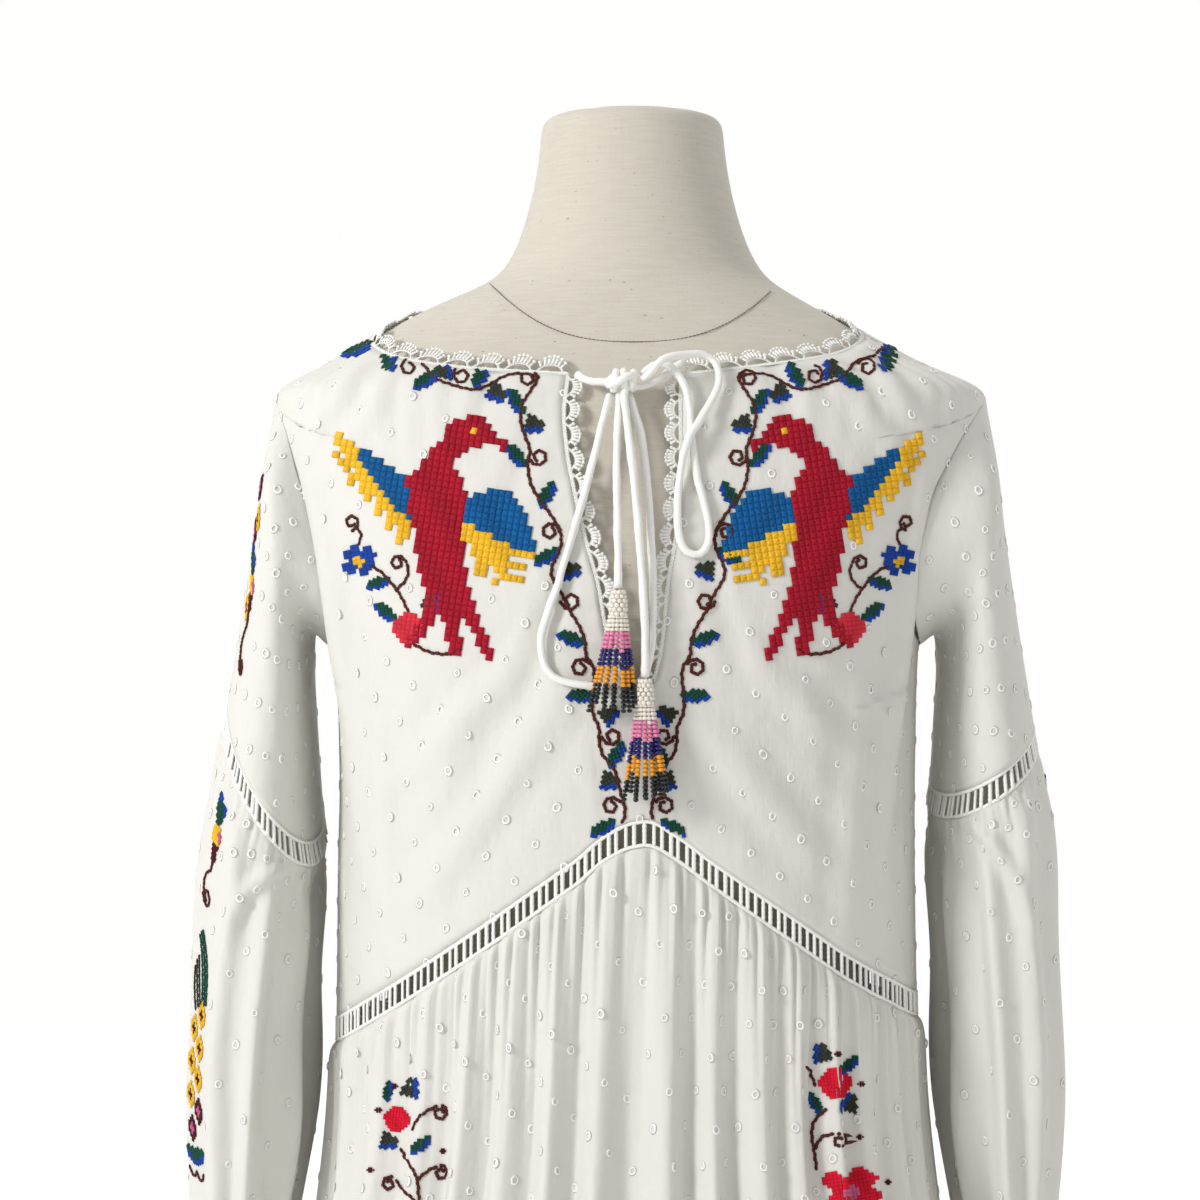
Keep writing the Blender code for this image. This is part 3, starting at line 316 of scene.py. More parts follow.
class DressShape:
    """Surfaces and edges of the worn dress, from its named tables."""

    section_power = 2.4
    hem = 0.420
    neck_point = 1.427
    shoulder_tip = 1.374
    underarm = 1.222
    slit_top = 1.381
    slit_end = 1.1935
    apex_angle = 89.0
    ladder_height = 0.0158
    ladder_back_rise = 0.020
    neck_back_drop = 0.004
    armhole_turn = {Side.LEFT: 25.0, Side.RIGHT: 33.0}

    def point(self, angle: float, height: float, outward: float = 0.0) -> Vector:
        """Point on the dress.

        Args:
            angle: Degrees from +X towards the front.
            height: Height over the floor.
            outward: Distance that the section is grown by.

        Returns:
            The point.
        """
        turn = math.radians(angle)
        across, along = math.cos(turn), math.sin(turn)
        side = Axis.HALF_RIGHT if across >= 0 else Axis.HALF_LEFT
        face = Axis.DEPTH_FRONT if along >= 0 else Axis.DEPTH_BACK
        half = read_table(DRESS_SECTIONS, height, side.value) + outward
        depth = read_table(DRESS_SECTIONS, height, face.value) + outward
        power = 2 / self.section_power
        x = half * math.copysign(abs(across) ** power, across)
        y = -depth * math.copysign(abs(along) ** power, along)
        return Vector((x, y, height))

    def normal(self, angle: float, height: float) -> Vector:
        """Outward direction of the dress's surface at a point."""
        round_step = self.point(angle + 0.5, height) - self.point(angle - 0.5, height)
        up_step = self.point(angle, height + 0.002) - self.point(angle, height - 0.002)
        return up_step.cross(round_step).normalized()

    def angle_at(self, x: float, height: float) -> float:
        """Angle of the front point that has this x."""
        side = Axis.HALF_RIGHT if x >= 0 else Axis.HALF_LEFT
        half = read_table(DRESS_SECTIONS, height, side.value)
        share = min(abs(x) / half, 1.0) ** (self.section_power / 2)
        turn = math.degrees(math.acos(share))
        return turn if x >= 0 else 180 - turn

    def ladder_top(self, angle: float) -> float:
        """Height of the ladder's upper edge at an angle."""
        angle %= 360
        if angle <= 180:
            return read_table(LADDER_FRONT_TOP, angle, 1)
        share = (angle - 180) / 180
        ends = LADDER_FRONT_TOP[-1][1] * (1 - share) + LADDER_FRONT_TOP[0][1] * share
        return ends + self.ladder_back_rise * math.sin(math.pi * share)

    @staticmethod
    def armhole_phase(share: float) -> float:
        """Phase of the armhole at a share of the way down it."""
        return (math.pi * share + math.acos(1 - 2 * share)) / 2

    def armhole(self, phase: float, side: Side) -> Pair:
        """Angle and height of the armhole, phase 0 at the shoulder tip."""
        middle = (self.shoulder_tip + self.underarm) / 2
        reach = (self.shoulder_tip - self.underarm) / 2
        swing = math.copysign(abs(math.sin(phase)) ** 0.9, math.sin(phase)) * self.armhole_turn[side]
        angle = swing if side is Side.RIGHT else 180 - swing
        return angle, middle + reach * math.cos(phase)

    def slit_edge(self, height: float, side: Side) -> float:
        """X of one edge of the slit at a height."""
        return read_table(SLIT_EDGES, height, 2 if side is Side.RIGHT else 1)

    def neckline(self, share: float, side: Side) -> Pair:
        """Angle and height of the front neckline, 0 at the slit."""
        corner = self.angle_at(self.slit_edge(self.slit_top, side), self.slit_top)
        end = 0.0 if side is Side.RIGHT else 180.0
        height = read_table(NECKLINE_FRONT, share, 2 if side is Side.RIGHT else 1)
        return corner + (end - corner) * share, height

    def neckline_back(self, share: float) -> Pair:
        """Angle and height of the back neckline, from the -X side."""
        return 180 + 180 * share, self.neck_point - self.neck_back_drop * math.sin(math.pi * share)

    def above(self, angle: float, height: float, distance: float) -> Pair:
        """Angle and height at a distance up the surface."""
        step = 0.002
        slope = (self.point(angle, height + step) - self.point(angle, height)).length / step
        return angle, height + distance / slope


SHAPE = DressShape()
VIEW = View()


class Socket:
    """A shader socket that takes part in Python expressions."""

    def __init__(self, paint: "Paint", link: bpy.types.NodeSocket) -> None:
        """Keep the socket and the tree that it belongs to."""
        self.paint = paint
        self.link = link

    def _maths(self, operation: str, first: object, second: object = 0.0) -> "Socket":
        """Join two values with one Math node."""
        return self.paint.node("ShaderNodeMath", {"operation": operation}, {0: first, 1: second})

    def above(self, level: float) -> "Socket":
        """One where this is more than a level."""
        return self._maths("GREATER_THAN", self, level)

    def clamp(self) -> "Socket":
        """This value held between 0 and 1."""
        return self.paint.node("ShaderNodeClamp", {}, {"Value": self})


def operator(operation: str, reverse: bool = False) -> Callable[[Socket, object], Socket]:
    """Method of Socket that joins it and another value by one Math node."""
    if reverse:
        return lambda self, other: self._maths(operation, other, self)
    return lambda self, other: self._maths(operation, self, other)


for word in ("ADD", "SUBTRACT", "MULTIPLY", "POWER"):
    stem = word[:3].lower()
    setattr(Socket, "__%s__" % stem, operator(word))
    setattr(Socket, "__r%s__" % stem, operator(word, True))


class Paint:
    """A material's node tree, written as expressions."""

    def __init__(self, name: str) -> None:
        """Start a material with its Principled shader."""
        self.material = bpy.data.materials.new(name)
        self.material.use_nodes = True
        self.tree = self.material.node_tree
        self.shader = self.tree.nodes["Principled BSDF"]

    def node(
        self,
        kind: str,
        settings: dict[str, object] | None = None,
        inputs: dict[str | int, object] | None = None,
        output: str | int = 0,
    ) -> Socket:
        """Add a node.

        Args:
            kind: The node's type.
            settings: Its settings, set first.
            inputs: Values or sockets for its inputs.
            output: The output to hand back.

        Returns:
            The chosen output.
        """
        made = self.tree.nodes.new(kind)
        for name, value in (settings or {}).items():
            setattr(made, name, value)
        for name, value in (inputs or {}).items():
            self.feed(made.inputs[name], value)
        return Socket(self, made.outputs[output])

    def feed(self, target: bpy.types.NodeSocket, value: object) -> None:
        """Set a socket to a value or link it."""
        if isinstance(value, Socket):
            self.tree.links.new(value.link, target)
        else:
            target.default_value = value

    def set(self, **values: object) -> None:
        """Set the shader's sockets by name, words joined by underscores."""
        for name, value in values.items():
            self.feed(self.shader.inputs[name.replace("_", " ")], value)

    def mix(self, factor: object, first: object, second: object) -> Socket:
        """Mix two colours."""
        made = self.tree.nodes.new("ShaderNodeMix")
        made.data_type = "RGBA"
        self.feed(made.inputs[0], factor)
        self.feed(made.inputs[6], first)
        self.feed(made.inputs[7], second)
        return Socket(self, made.outputs[2])

    def place(self, scale: tuple[float, float, float], uv: bool = False) -> Socket:
        """Coordinates of the piece, stretched by a scale."""
        source = self.node("ShaderNodeTexCoord", output="UV" if uv else "Object")
        return self.node("ShaderNodeMapping", inputs={"Vector": source, "Scale": scale})

    def noise(self, place: Socket, scale: float, detail: float = 3.0) -> Socket:
        """Smooth noise between 0 and 1."""
        return self.node("ShaderNodeTexNoise", {}, {"Vector": place, "Scale": scale, "Detail": detail})

    def blend(self, share: float, other: Socket) -> None:
        """Mix another shader into the surface by a share."""
        own = Socket(self, self.shader.outputs[0])
        mixed = self.node("ShaderNodeMixShader", {}, {0: share, 1: own, 2: other})
        self.tree.links.new(mixed.link, self.tree.nodes["Material Output"].inputs["Surface"])

    def bump(self, height: Socket, distance: float, strength: float = 1.0) -> None:
        """Feed a height to the shader's normal."""
        values = {"Height": height, "Distance": distance, "Strength": strength}
        self.set(Normal=self.node("ShaderNodeBump", {}, values))


def grey(value: float, warmth: float = 0.0) -> Colour:
    """A near-white colour with some warmth."""
    return (value, value * (1 - 0.5 * warmth), value * (1 - warmth), 1.0)


@dataclass(frozen=True)
class VoileFinish:
    """Off-white cotton voile with slubs and a fine weave."""

    name: str = "dotted_voile"
    light: Colour = (0.830, 0.820, 0.775, 1.0)
    shade: Colour = (0.760, 0.745, 0.690, 1.0)
    roughness: float = 0.86

    def build(self) -> Material:
        """Make the material, with its weave in metres on the UV map."""
        paint = Paint(self.name)
        warp = paint.noise(paint.place((900.0, 40.0, 1.0), True), 1.0, 2.0)
        weft = paint.noise(paint.place((40.0, 900.0, 1.0), True), 1.0, 2.0)
        cloud = paint.noise(paint.place((9.0, 9.0, 9.0)), 1.0, 3.0)
        crumple = paint.noise(paint.place((38.0, 38.0, 20.0)), 1.0, 4.0)
        tone = (warp * 0.3 + weft * 0.3 + cloud * 0.4).clamp()
        paint.set(Base_Color=paint.mix(tone, self.shade, self.light))
        paint.set(Roughness=self.roughness, Sheen_Weight=0.25, Sheen_Roughness=0.6)
        paint.bump(warp * 0.12 + weft * 0.12 + crumple * 3.0, 0.0014, 0.7)
        glow = paint.node("ShaderNodeBsdfTranslucent", {}, {"Color": self.light})
        paint.blend(0.22, glow)
        return paint.material


@dataclass(frozen=True)
class ThreadFinish:
    """Matte cotton thread with a twisted ply."""

    name: str = "cotton_thread"
    colour: Colour = (0.88, 0.872, 0.835, 1.0)
    ply: float = 900.0

    def build(self) -> Material:
        """Make the material."""
        paint = Paint(self.name)
        strands = paint.noise(paint.place((self.ply, self.ply, self.ply * 0.6)), 1.0, 2.0)
        dark = tuple(value * 0.86 for value in self.colour[:3]) + (1.0,)
        paint.set(Base_Color=paint.mix(strands, dark, self.colour), Roughness=0.88, Sheen_Weight=0.2)
        paint.bump(strands, 0.0003, 0.6)
        return paint.material


@dataclass(frozen=True)
class StitchFinish:
    """Coloured embroidery cotton, its colour stored on each stitch."""

    name: str = "embroidery_cotton"

    def build(self) -> Material:
        """Make the material."""
        paint = Paint(self.name)
        colour = paint.node("ShaderNodeAttribute", {"attribute_name": "thread_colour"}, output="Color")
        strands = paint.noise(paint.place((1500.0, 1500.0, 1500.0)), 1.0, 2.0)
        darker = paint.node(
            "ShaderNodeHueSaturation", {}, {"Value": 0.62, "Saturation": 1.0, "Color": colour}
        )
        paint.set(Base_Color=paint.mix(strands, darker, colour), Roughness=0.7)
        paint.set(Specular_IOR_Level=0.22)
        paint.bump(strands, 0.0002, 0.5)
        return paint.material


@dataclass(frozen=True)
class BeadFinish:
    """Glossy seed beads, their colour stored on each bead."""

    name: str = "seed_beads"

    def build(self) -> Material:
        """Make the material."""
        paint = Paint(self.name)
        colour = paint.node("ShaderNodeAttribute", {"attribute_name": "thread_colour"}, output="Color")
        cloud = paint.noise(paint.place((700.0, 700.0, 700.0)), 1.0, 1.0)
        deep = paint.node("ShaderNodeHueSaturation", {}, {"Value": 0.75, "Color": colour})
        paint.set(Base_Color=paint.mix(cloud, deep, colour), Roughness=0.13 + 0.10 * cloud)
        paint.set(Specular_IOR_Level=0.40, Coat_Weight=0.10, Coat_Roughness=0.05)
        return paint.material


@dataclass(frozen=True)
class LinenFinish:
    """Beige linen with fine cross threads and dark specks."""

    name: str = "linen_weave"
    light: Colour = (0.640, 0.605, 0.525, 1.0)
    dark: Colour = (0.440, 0.405, 0.340, 1.0)
    speck: Colour = (0.16, 0.13, 0.10, 1.0)

    def build(self) -> Material:
        """Make the material."""
        paint = Paint(self.name)
        weft = paint.noise(paint.place((55.0, 55.0, 900.0)), 1.0, 2.0)
        warp = paint.noise(paint.place((700.0, 700.0, 60.0)), 1.0, 2.0)
        cloud = paint.noise(paint.place((11.0, 11.0, 11.0)), 1.0, 3.0)
        flecks = paint.noise(paint.place((240.0, 240.0, 620.0)), 1.0, 2.0).above(0.735)
        cloth = paint.mix((weft * 0.55 + warp * 0.2 + cloud * 0.25).clamp(), self.dark, self.light)
        paint.set(Base_Color=paint.mix(flecks * 0.6, cloth, self.speck), Roughness=0.93)
        paint.set(Sheen_Weight=0.15)
        paint.bump(weft * 0.7 + warp * 0.4, 0.0005, 0.55)
        return paint.material


@dataclass(frozen=True)
class SteelFinish:
    """Satin black paint on the stand, lightly scuffed."""

    name: str = "painted_steel"

    def build(self) -> Material:
        """Make the material."""
        paint = Paint(self.name)
        scuffs = paint.noise(paint.place((60.0, 60.0, 60.0)), 1.0, 4.0)
        grain = paint.noise(paint.place((900.0, 900.0, 900.0)), 1.0, 1.0)
        paint.set(Base_Color=paint.mix(scuffs, (0.018, 0.018, 0.019, 1), (0.045, 0.044, 0.042, 1)))
        paint.set(Roughness=0.32 + 0.25 * scuffs, Metallic=0.4)
        paint.bump(grain, 0.0001, 0.3)
        return paint.material


def surface_object(name: str, shape: bmesh.types.BMesh, material: Material) -> Piece:
    """Link a finished shape as a smooth object of one material."""
    mesh = bpy.data.meshes.new(name)
    mesh.materials.append(material)
    shape.to_mesh(mesh)
    shape.free()
    mesh.shade_smooth()
    return linked(name, mesh)


def join_rows(shape: bmesh.types.BMesh, pairs: Sequence[tuple[Sequence, Sequence]]) -> None:
    """Join pairs of closed rows of points by faces."""
    for here, after in pairs:
        for side in range(len(here)):
            other = (side + 1) % len(here)
            shape.faces.new((here[side], here[other], after[other], after[side]))


@dataclass
class Cloth:
    """One cut piece of cloth as a thin shell on a grid of points."""

    name: str
    material: Material
    thickness: float = 0.0006
    closed: bool = False
    weld: float = 0.00003

    def build(self, grids: Sequence[Grid], weave: Sequence[Weave]) -> Piece:
        """Make the shell.

        Args:
            grids: Grids of points, joined where their points meet.
            weave: For each grid, the place of each point on the cloth in metres.

        Returns:
            The finished shell.
        """
        shape = bmesh.new()
        layer = shape.loops.layers.uv.new("weave")
        for grid, flat in zip(grids, weave):
            verts = [[shape.verts.new(point) for point in row] for row in grid]
            columns = len(grid[0])
            last = columns if self.closed else columns - 1
            for row in range(len(grid) - 1):
                for column in range(last):
                    after = (column + 1) % columns
                    corners = ((row, column), (row, after), (row + 1, after), (row + 1, column))
                    face = shape.faces.new([verts[r][c] for r, c in corners])
                    for loop, (r, c) in zip(face.loops, corners):
                        u, v = flat[r][c]
                        if after == 0 and c == 0:
                            u = flat[r][columns - 1][0] * columns / (columns - 1)
                        loop[layer].uv = (u, v)
        bmesh.ops.remove_doubles(shape, verts=shape.verts, dist=self.weld)
        bmesh.ops.recalc_face_normals(shape, faces=shape.faces)
        made = surface_object(self.name, shape, self.material)
        self.face_outward(made)
        wall = made.modifiers.new("Wall", "SOLIDIFY")
        wall.thickness = self.thickness
        wall.offset = 0.0
        return made

    @staticmethod
    def face_outward(made: Piece) -> None:
        """Turn an open surface so that most of its faces look away from the body's axis."""
        mesh = made.data
        middle = sum((v.co for v in mesh.vertices), Vector()) / len(mesh.vertices)
        axis = Vector((middle.x if abs(middle.x) > 0.15 else 0.0, 0.0))
        total = sum((face.center.xy - axis).dot(face.normal.xy) for face in mesh.polygons)
        if total < 0:
            mesh.flip_normals()

    @staticmethod
    def area(made: Piece) -> float:
        """Area of one side of the cloth before it has its wall."""
        return sum(face.area for face in made.data.polygons)


@dataclass
class Crease:
    """A soft trough in the front cloth between two pixels of the photograph."""

    start: Pair
    end: Pair
    width: float
    depth: float

    pixel = 0.000572
    overrun = 0.15

    def at(self, x: float, height: float) -> float:
        """Depth of the trough at a place, in metres inward."""
        first = self.plane(self.start)
        last = self.plane(self.end)
        run = last - first
        place = Vector((x, height)) - first
        share = place.dot(run) / run.length_squared
        if not -self.overrun < share < 1 + self.overrun:
            return 0.0
        off = (place - run * share).length / (self.width * MILLIMETRE)
        fade = max(0.0, 1 - (2 * abs(share - 0.5) / 1.3) ** 2)
        trough = math.exp(-(off**2)) - 0.45 * math.exp(-((off - 1.7) ** 2) * 1.4)
        return self.depth * MILLIMETRE * trough * fade

    def plane(self, place: Pair) -> Vector:
        """Place of a pixel near the dress's front, as x and height."""
        return Vector((EYE[0] + (place[0] - 600) * self.pixel, EYE[2] + (600 - place[1]) * self.pixel))


YOKE_CREASES: tuple[Crease, ...] = (
    Crease((296, 470), (338, 700), 6, -3.6), Crease((322, 540), (350, 860), 7, -4.2),
    Crease((362, 690), (378, 930), 9, -3.2), Crease((560, 700), (420, 900), 10, -2.6),
    Crease((520, 660), (380, 800), 9, -2.2), Crease((700, 720), (830, 870), 10, -2.6),
    Crease((745, 650), (890, 790), 9, -2.2), Crease((934, 470), (905, 700), 6, -3.6),
    Crease((915, 590), (888, 860), 7, -4.2), Crease((866, 700), (852, 930), 9, -3.0),
    Crease((358, 345), (296, 430), 7, -2.2), Crease((392, 360), (320, 470), 7, -1.6),
    Crease((872, 345), (940, 430), 7, -2.2), Crease((840, 362), (915, 470), 7, -1.6),
    Crease((545, 400), (500, 520), 7, 1.3), Crease((570, 560), (520, 700), 7, 1.5),
    Crease((700, 540), (742, 680), 7, 1.5), Crease((470, 700), (430, 820), 12, -2.0),
    Crease((800, 700), (850, 830), 12, -2.0), Crease((612, 830), (600, 740), 5, 1.3),
    Crease((650, 830), (660, 745), 5, 1.3), Crease((500, 345), (470, 430), 6, 1.2),
    Crease((770, 345), (800, 430), 6, 1.2),
)


class Bust:
    """The form's surface, that the neck's edges lie on."""

    gap = 0.0010

    def __init__(self) -> None:
        """Read the form's solid."""
        self.skin = Skin([frame_node("form_body")])

    def lay(self, point: Vector, share: float) -> Vector:
        """Move a point towards its rest on the form by a share."""
        found = self.skin.near(point, 0.03)
        if found is None or share <= 0:
            return point
        away = (point - found[0]).normalized()
        return point.lerp(found[0] + away * self.gap, min(share, 1.0))

    @staticmethod
    def beside_neck(share: float) -> float:
        """How far a point of the front has reached the neck's side, 0 to 1."""
        part = min(max((share - 0.6) / 0.35, 0.0), 1.0)
        return part * part * (3 - 2 * part)


@dataclass
class Yoke:
    """The front and back yoke pieces."""

    bust: Bust

    rows = 96
    columns = 84
    steps = 12.0
    slit_steps = 9.0
    laid_rows = 24
    lay_fade = 7
    mean_radius = 0.16

    def side_edge(self, place: float, side: Side, back: bool) -> Pair:
        """Angle and height of the yoke's outer edge, top to bottom."""
        row = place * self.steps
        home = 0.0 if side is Side.RIGHT else 180.0
        if back and side is Side.RIGHT:
            home = 360.0
        if row <= 2:
            return home, SHAPE.neck_point + (SHAPE.shoulder_tip - SHAPE.neck_point) * row / 2
        if row < 9:
            angle, height = SHAPE.armhole(SHAPE.armhole_phase((row - 2) / 7) * (-1 if back else 1), side)
            return (angle + 360 if back and side is Side.RIGHT else angle), height
        bottom = SHAPE.ladder_top(home)
        return home, SHAPE.underarm + (bottom - SHAPE.underarm) * (row - 9) / 3

    @staticmethod
    def blend(edges: Edges, u: float, v: float) -> Pair:
        """Blend four edge curves into a patch.

        Args:
            edges: The curves at the start, end, top and bottom.
            u: Share of the way from start to end.
            v: Share of the way from top to bottom.

        Returns:
            Angle and height.
        """
        start, end, top, bottom = edges
        found = []
        for axis in range(2):
            across = (1 - u) * start(v)[axis] + u * end(v)[axis]
            down = (1 - v) * top(u)[axis] + v * bottom(u)[axis]
            low = (1 - u) * top(0.0)[axis] + u * top(1.0)[axis]
            high = (1 - u) * bottom(0.0)[axis] + u * bottom(1.0)[axis]
            found.append(across + down - (1 - v) * low - v * high)
        return found[0], found[1]

    def front_edges(self, side: Side) -> Edges:
        """The four edge curves of one half of the front."""

        def centre(v: float) -> Pair:
            """The slit's edge and the fold of the centre below it."""
            row = v * self.steps
            if row <= self.slit_steps:
                height = SHAPE.slit_top + (SHAPE.slit_end - SHAPE.slit_top) * row / self.slit_steps
                return SHAPE.angle_at(SHAPE.slit_edge(height, side), height), height
            share = (row - self.slit_steps) / (self.steps - self.slit_steps)
            height = SHAPE.slit_end + (SHAPE.ladder_top(SHAPE.apex_angle) - SHAPE.slit_end) * share
            start = SHAPE.angle_at(SHAPE.slit_edge(SHAPE.slit_end, Side.RIGHT), SHAPE.slit_end)
            return start + (SHAPE.apex_angle - start) * share, height

        def bottom(u: float) -> Pair:
            """The seam with the ladder."""
            home = 0.0 if side is Side.RIGHT else 180.0
            angle = SHAPE.apex_angle + (home - SHAPE.apex_angle) * u
            return angle, SHAPE.ladder_top(angle)

        return centre, lambda v: self.side_edge(v, side, False), lambda u: SHAPE.neckline(u, side), bottom

    def back_edges(self) -> Edges:
        """The four edge curves of the back."""
        return (
            lambda v: self.side_edge(v, Side.LEFT, True),
            lambda v: self.side_edge(v, Side.RIGHT, True),
            SHAPE.neckline_back,
            lambda u: (180 + 180 * u, SHAPE.ladder_top(180 + 180 * u)),
        )

    @staticmethod
    def crease(point: Vector) -> float:
        """Depth of the creases at a front point."""
        return sum(crease.at(point.x, point.z) for crease in YOKE_CREASES)

    @staticmethod
    def pucker(angle: float, height: float, across: float, down: float) -> float:
        """Depth of the small gathers under the neckline and beside the slit.

        Args:
            angle: Angle of the point.
            height: Height of the point.
            across: Share of the way from the slit to the side.
            down: Share of the way from the neckline to the ladder.

        Returns:
            The depth, in metres inward.
        """
        neck = math.sin(angle * 0.9 + 1.5 * math.sin(angle * 0.21)) * math.exp(-down * 9)
        beside = math.sin(height * 430 + 1.7 * math.sin(height * 97)) * math.exp(-across * 13)
        fade = min(max((height - SHAPE.slit_end) * 60, 0.0), 1.0)
        return 0.0010 * neck * min(down * 30, 1.0) + 0.0008 * beside * fade * min(across * 30, 1.0)

    def grid(self, edges: Edges, columns: int, front: bool) -> tuple[Grid, Weave]:
        """Points of a yoke patch and their places on the cloth.

        Args:
            edges: The patch's four edge curves.
            columns: Columns of the grid.
            front: Whether the front's creases are laid in.

        Returns:
            The grid of points and the grid of places on the cloth.
        """
        grid: Grid = []
        weave = []
        for row in range(self.rows + 1):
            line = []
            flat = []
            for column in range(columns + 1):
                angle, height = self.blend(edges, column / columns, row / self.rows)
                point = SHAPE.point(angle, height)
                if front:
                    pucker = self.pucker(angle, height, column / columns, row / self.rows)
                    point -= SHAPE.normal(angle, height) * (self.crease(point) + pucker)
                else:
                    wave = math.sin(math.radians(angle) * 7) * math.sin((height - 1.0) * 9)
                    point += SHAPE.normal(angle, height) * wave * 0.0006
                beside = self.bust.beside_neck(column / columns) if front else 1.0
                if row < self.laid_rows:
                    point = self.bust.lay(point, beside * math.exp(-((row / self.lay_fade) ** 2)))
                line.append(point)
                flat.append((math.radians(angle) * self.mean_radius, height))
            grid.append(line)
            weave.append(flat)
        return grid, weave

    def build(self, material: Material) -> list[Piece]:
        """Make both yoke pieces.

        Args:
            material: The voile.

        Returns:
            The front and the back.
        """
        halves = [self.grid(self.front_edges(side), self.columns, True) for side in Side]
        front = Cloth("yoke_front_voile", material).build([h[0] for h in halves], [h[1] for h in halves])
        grid, weave = self.grid(self.back_edges(), self.columns, False)
        back = Cloth("yoke_back_voile", material).build([grid], [weave])
        for made, node, flat in ((front, "yoke_front", (0.50, 0.46)), (back, "yoke_back", (0.48, 0.44))):
            dress_cloth(made, node, flat)
        return [front, back]


def dress_cloth(
    made: Piece,
    node: str,
    flat: Pair,
) -> None:
    """Ride and replace one cut piece of cloth.

    Args:
        made: The shell.
        node: The solid that it stands for.
        flat: Width and length of the cut that the piece comes from.
    """
    area = min(Cloth.area(made), flat[0] * flat[1])
    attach(made, BODY)
    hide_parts(node)
    log.info("%s: one side %.3f square metres", made.name, Cloth.area(made))


@dataclass
class SkirtPanel:
    """One gathered skirt panel, front or back."""

    node: str
    folds: Table
    flat: Pair
    per_fold: int = 22
    rows: int = 64
    ripple_height: float = 0.0018
    puff: float = 0.0030
    gather_reach: float = 0.055
    puff_reach: float = 0.10

    def fold_at(self, place: float) -> tuple[float, float, float]:
        """Top angle, hem angle and wave height at a place along the folds."""
        low = min(int(place), len(self.folds) - 2)
        share = place - low
        here, after = self.folds[low], self.folds[low + 1]
        lean = 0.10 * math.sin(2.4 * low + 0.7)
        turned = share + lean * math.sin(2 * math.pi * share) / (2 * math.pi)
        wave = (1 - math.cos(2 * math.pi * turned)) / 2 - 0.5
        height = (here[2] * (1 - share) + after[2] * share) * wave
        return here[0] + (after[0] - here[0]) * share, here[1] + (after[1] - here[1]) * share, height

    def point(self, place: float, share: float) -> Vector:
        """Point of the panel.

        Args:
            place: Place along the folds, a whole number at each valley.
            share: Share of the way down.

        Returns:
            The point.
        """
        top_angle, hem_angle, fold = self.fold_at(place)
        angle = top_angle + (hem_angle - top_angle) * min(share * 1.6, 1.0)
        top = SHAPE.ladder_top(angle) - SHAPE.ladder_height
        height = top + (SHAPE.hem - top) * share
        growth = read_table(FOLD_GROWTH, share, 1)
        drop = top - height
        gather = math.exp(-drop / self.gather_reach)
        small = math.sin(2 * math.pi * place * 3 + math.sin(place * 2.3)) + 0.6 * math.sin(
            2 * math.pi * place * 5 + 1.1 * place
        )
        ripple = self.ripple_height * small * gather * (1 - math.exp(-drop / 0.003))
        puff = self.puff * (1 - math.exp(-drop / 0.008)) * math.exp(-drop / self.puff_reach)
        slow = 0.0012 * math.sin(3.1 * place + 5 * share) * min(share * 6, 1.0)
        return SHAPE.point(angle, height, fold * growth * 2 + ripple + puff + slow)

    def build(self, material: Material) -> Piece:
        """Make the panel.

        Args:
            material: The voile.

        Returns:
            The panel's shell.
        """
        count = (len(self.folds) - 1) * self.per_fold
        grid: Grid = []
        weave = []
        for row in range(self.rows + 1):
            share = (row / self.rows) ** 1.35
            grid.append([self.point(column / self.per_fold, share) for column in range(count + 1)])
            level = self.flat[1] * (1 - share)
            weave.append([(self.flat[0] * column / count, level) for column in range(count + 1)])
        made = Cloth(self.node + "_voile", material).build([grid], [weave])
        dress_cloth(made, self.node, self.flat)
        return made


# turn at the top and at the bottom, share down where it starts and ends, height
SLEEVE_FOLDS = (
    (2.20, 1.20, 0.02, 0.40, 0.0034), (1.95, 1.70, 0.15, 0.92, 0.0030), (2.65, 2.45, 0.20, 0.96, 0.0028),
    (4.00, 3.80, 0.08, 0.92, 0.0030), (5.20, 5.45, 0.05, 0.85, 0.0028),
)


# turn of the embroidered panel's middle, towards the front
PANEL_TURN = {Side.LEFT: 0.80, Side.RIGHT: -0.10}


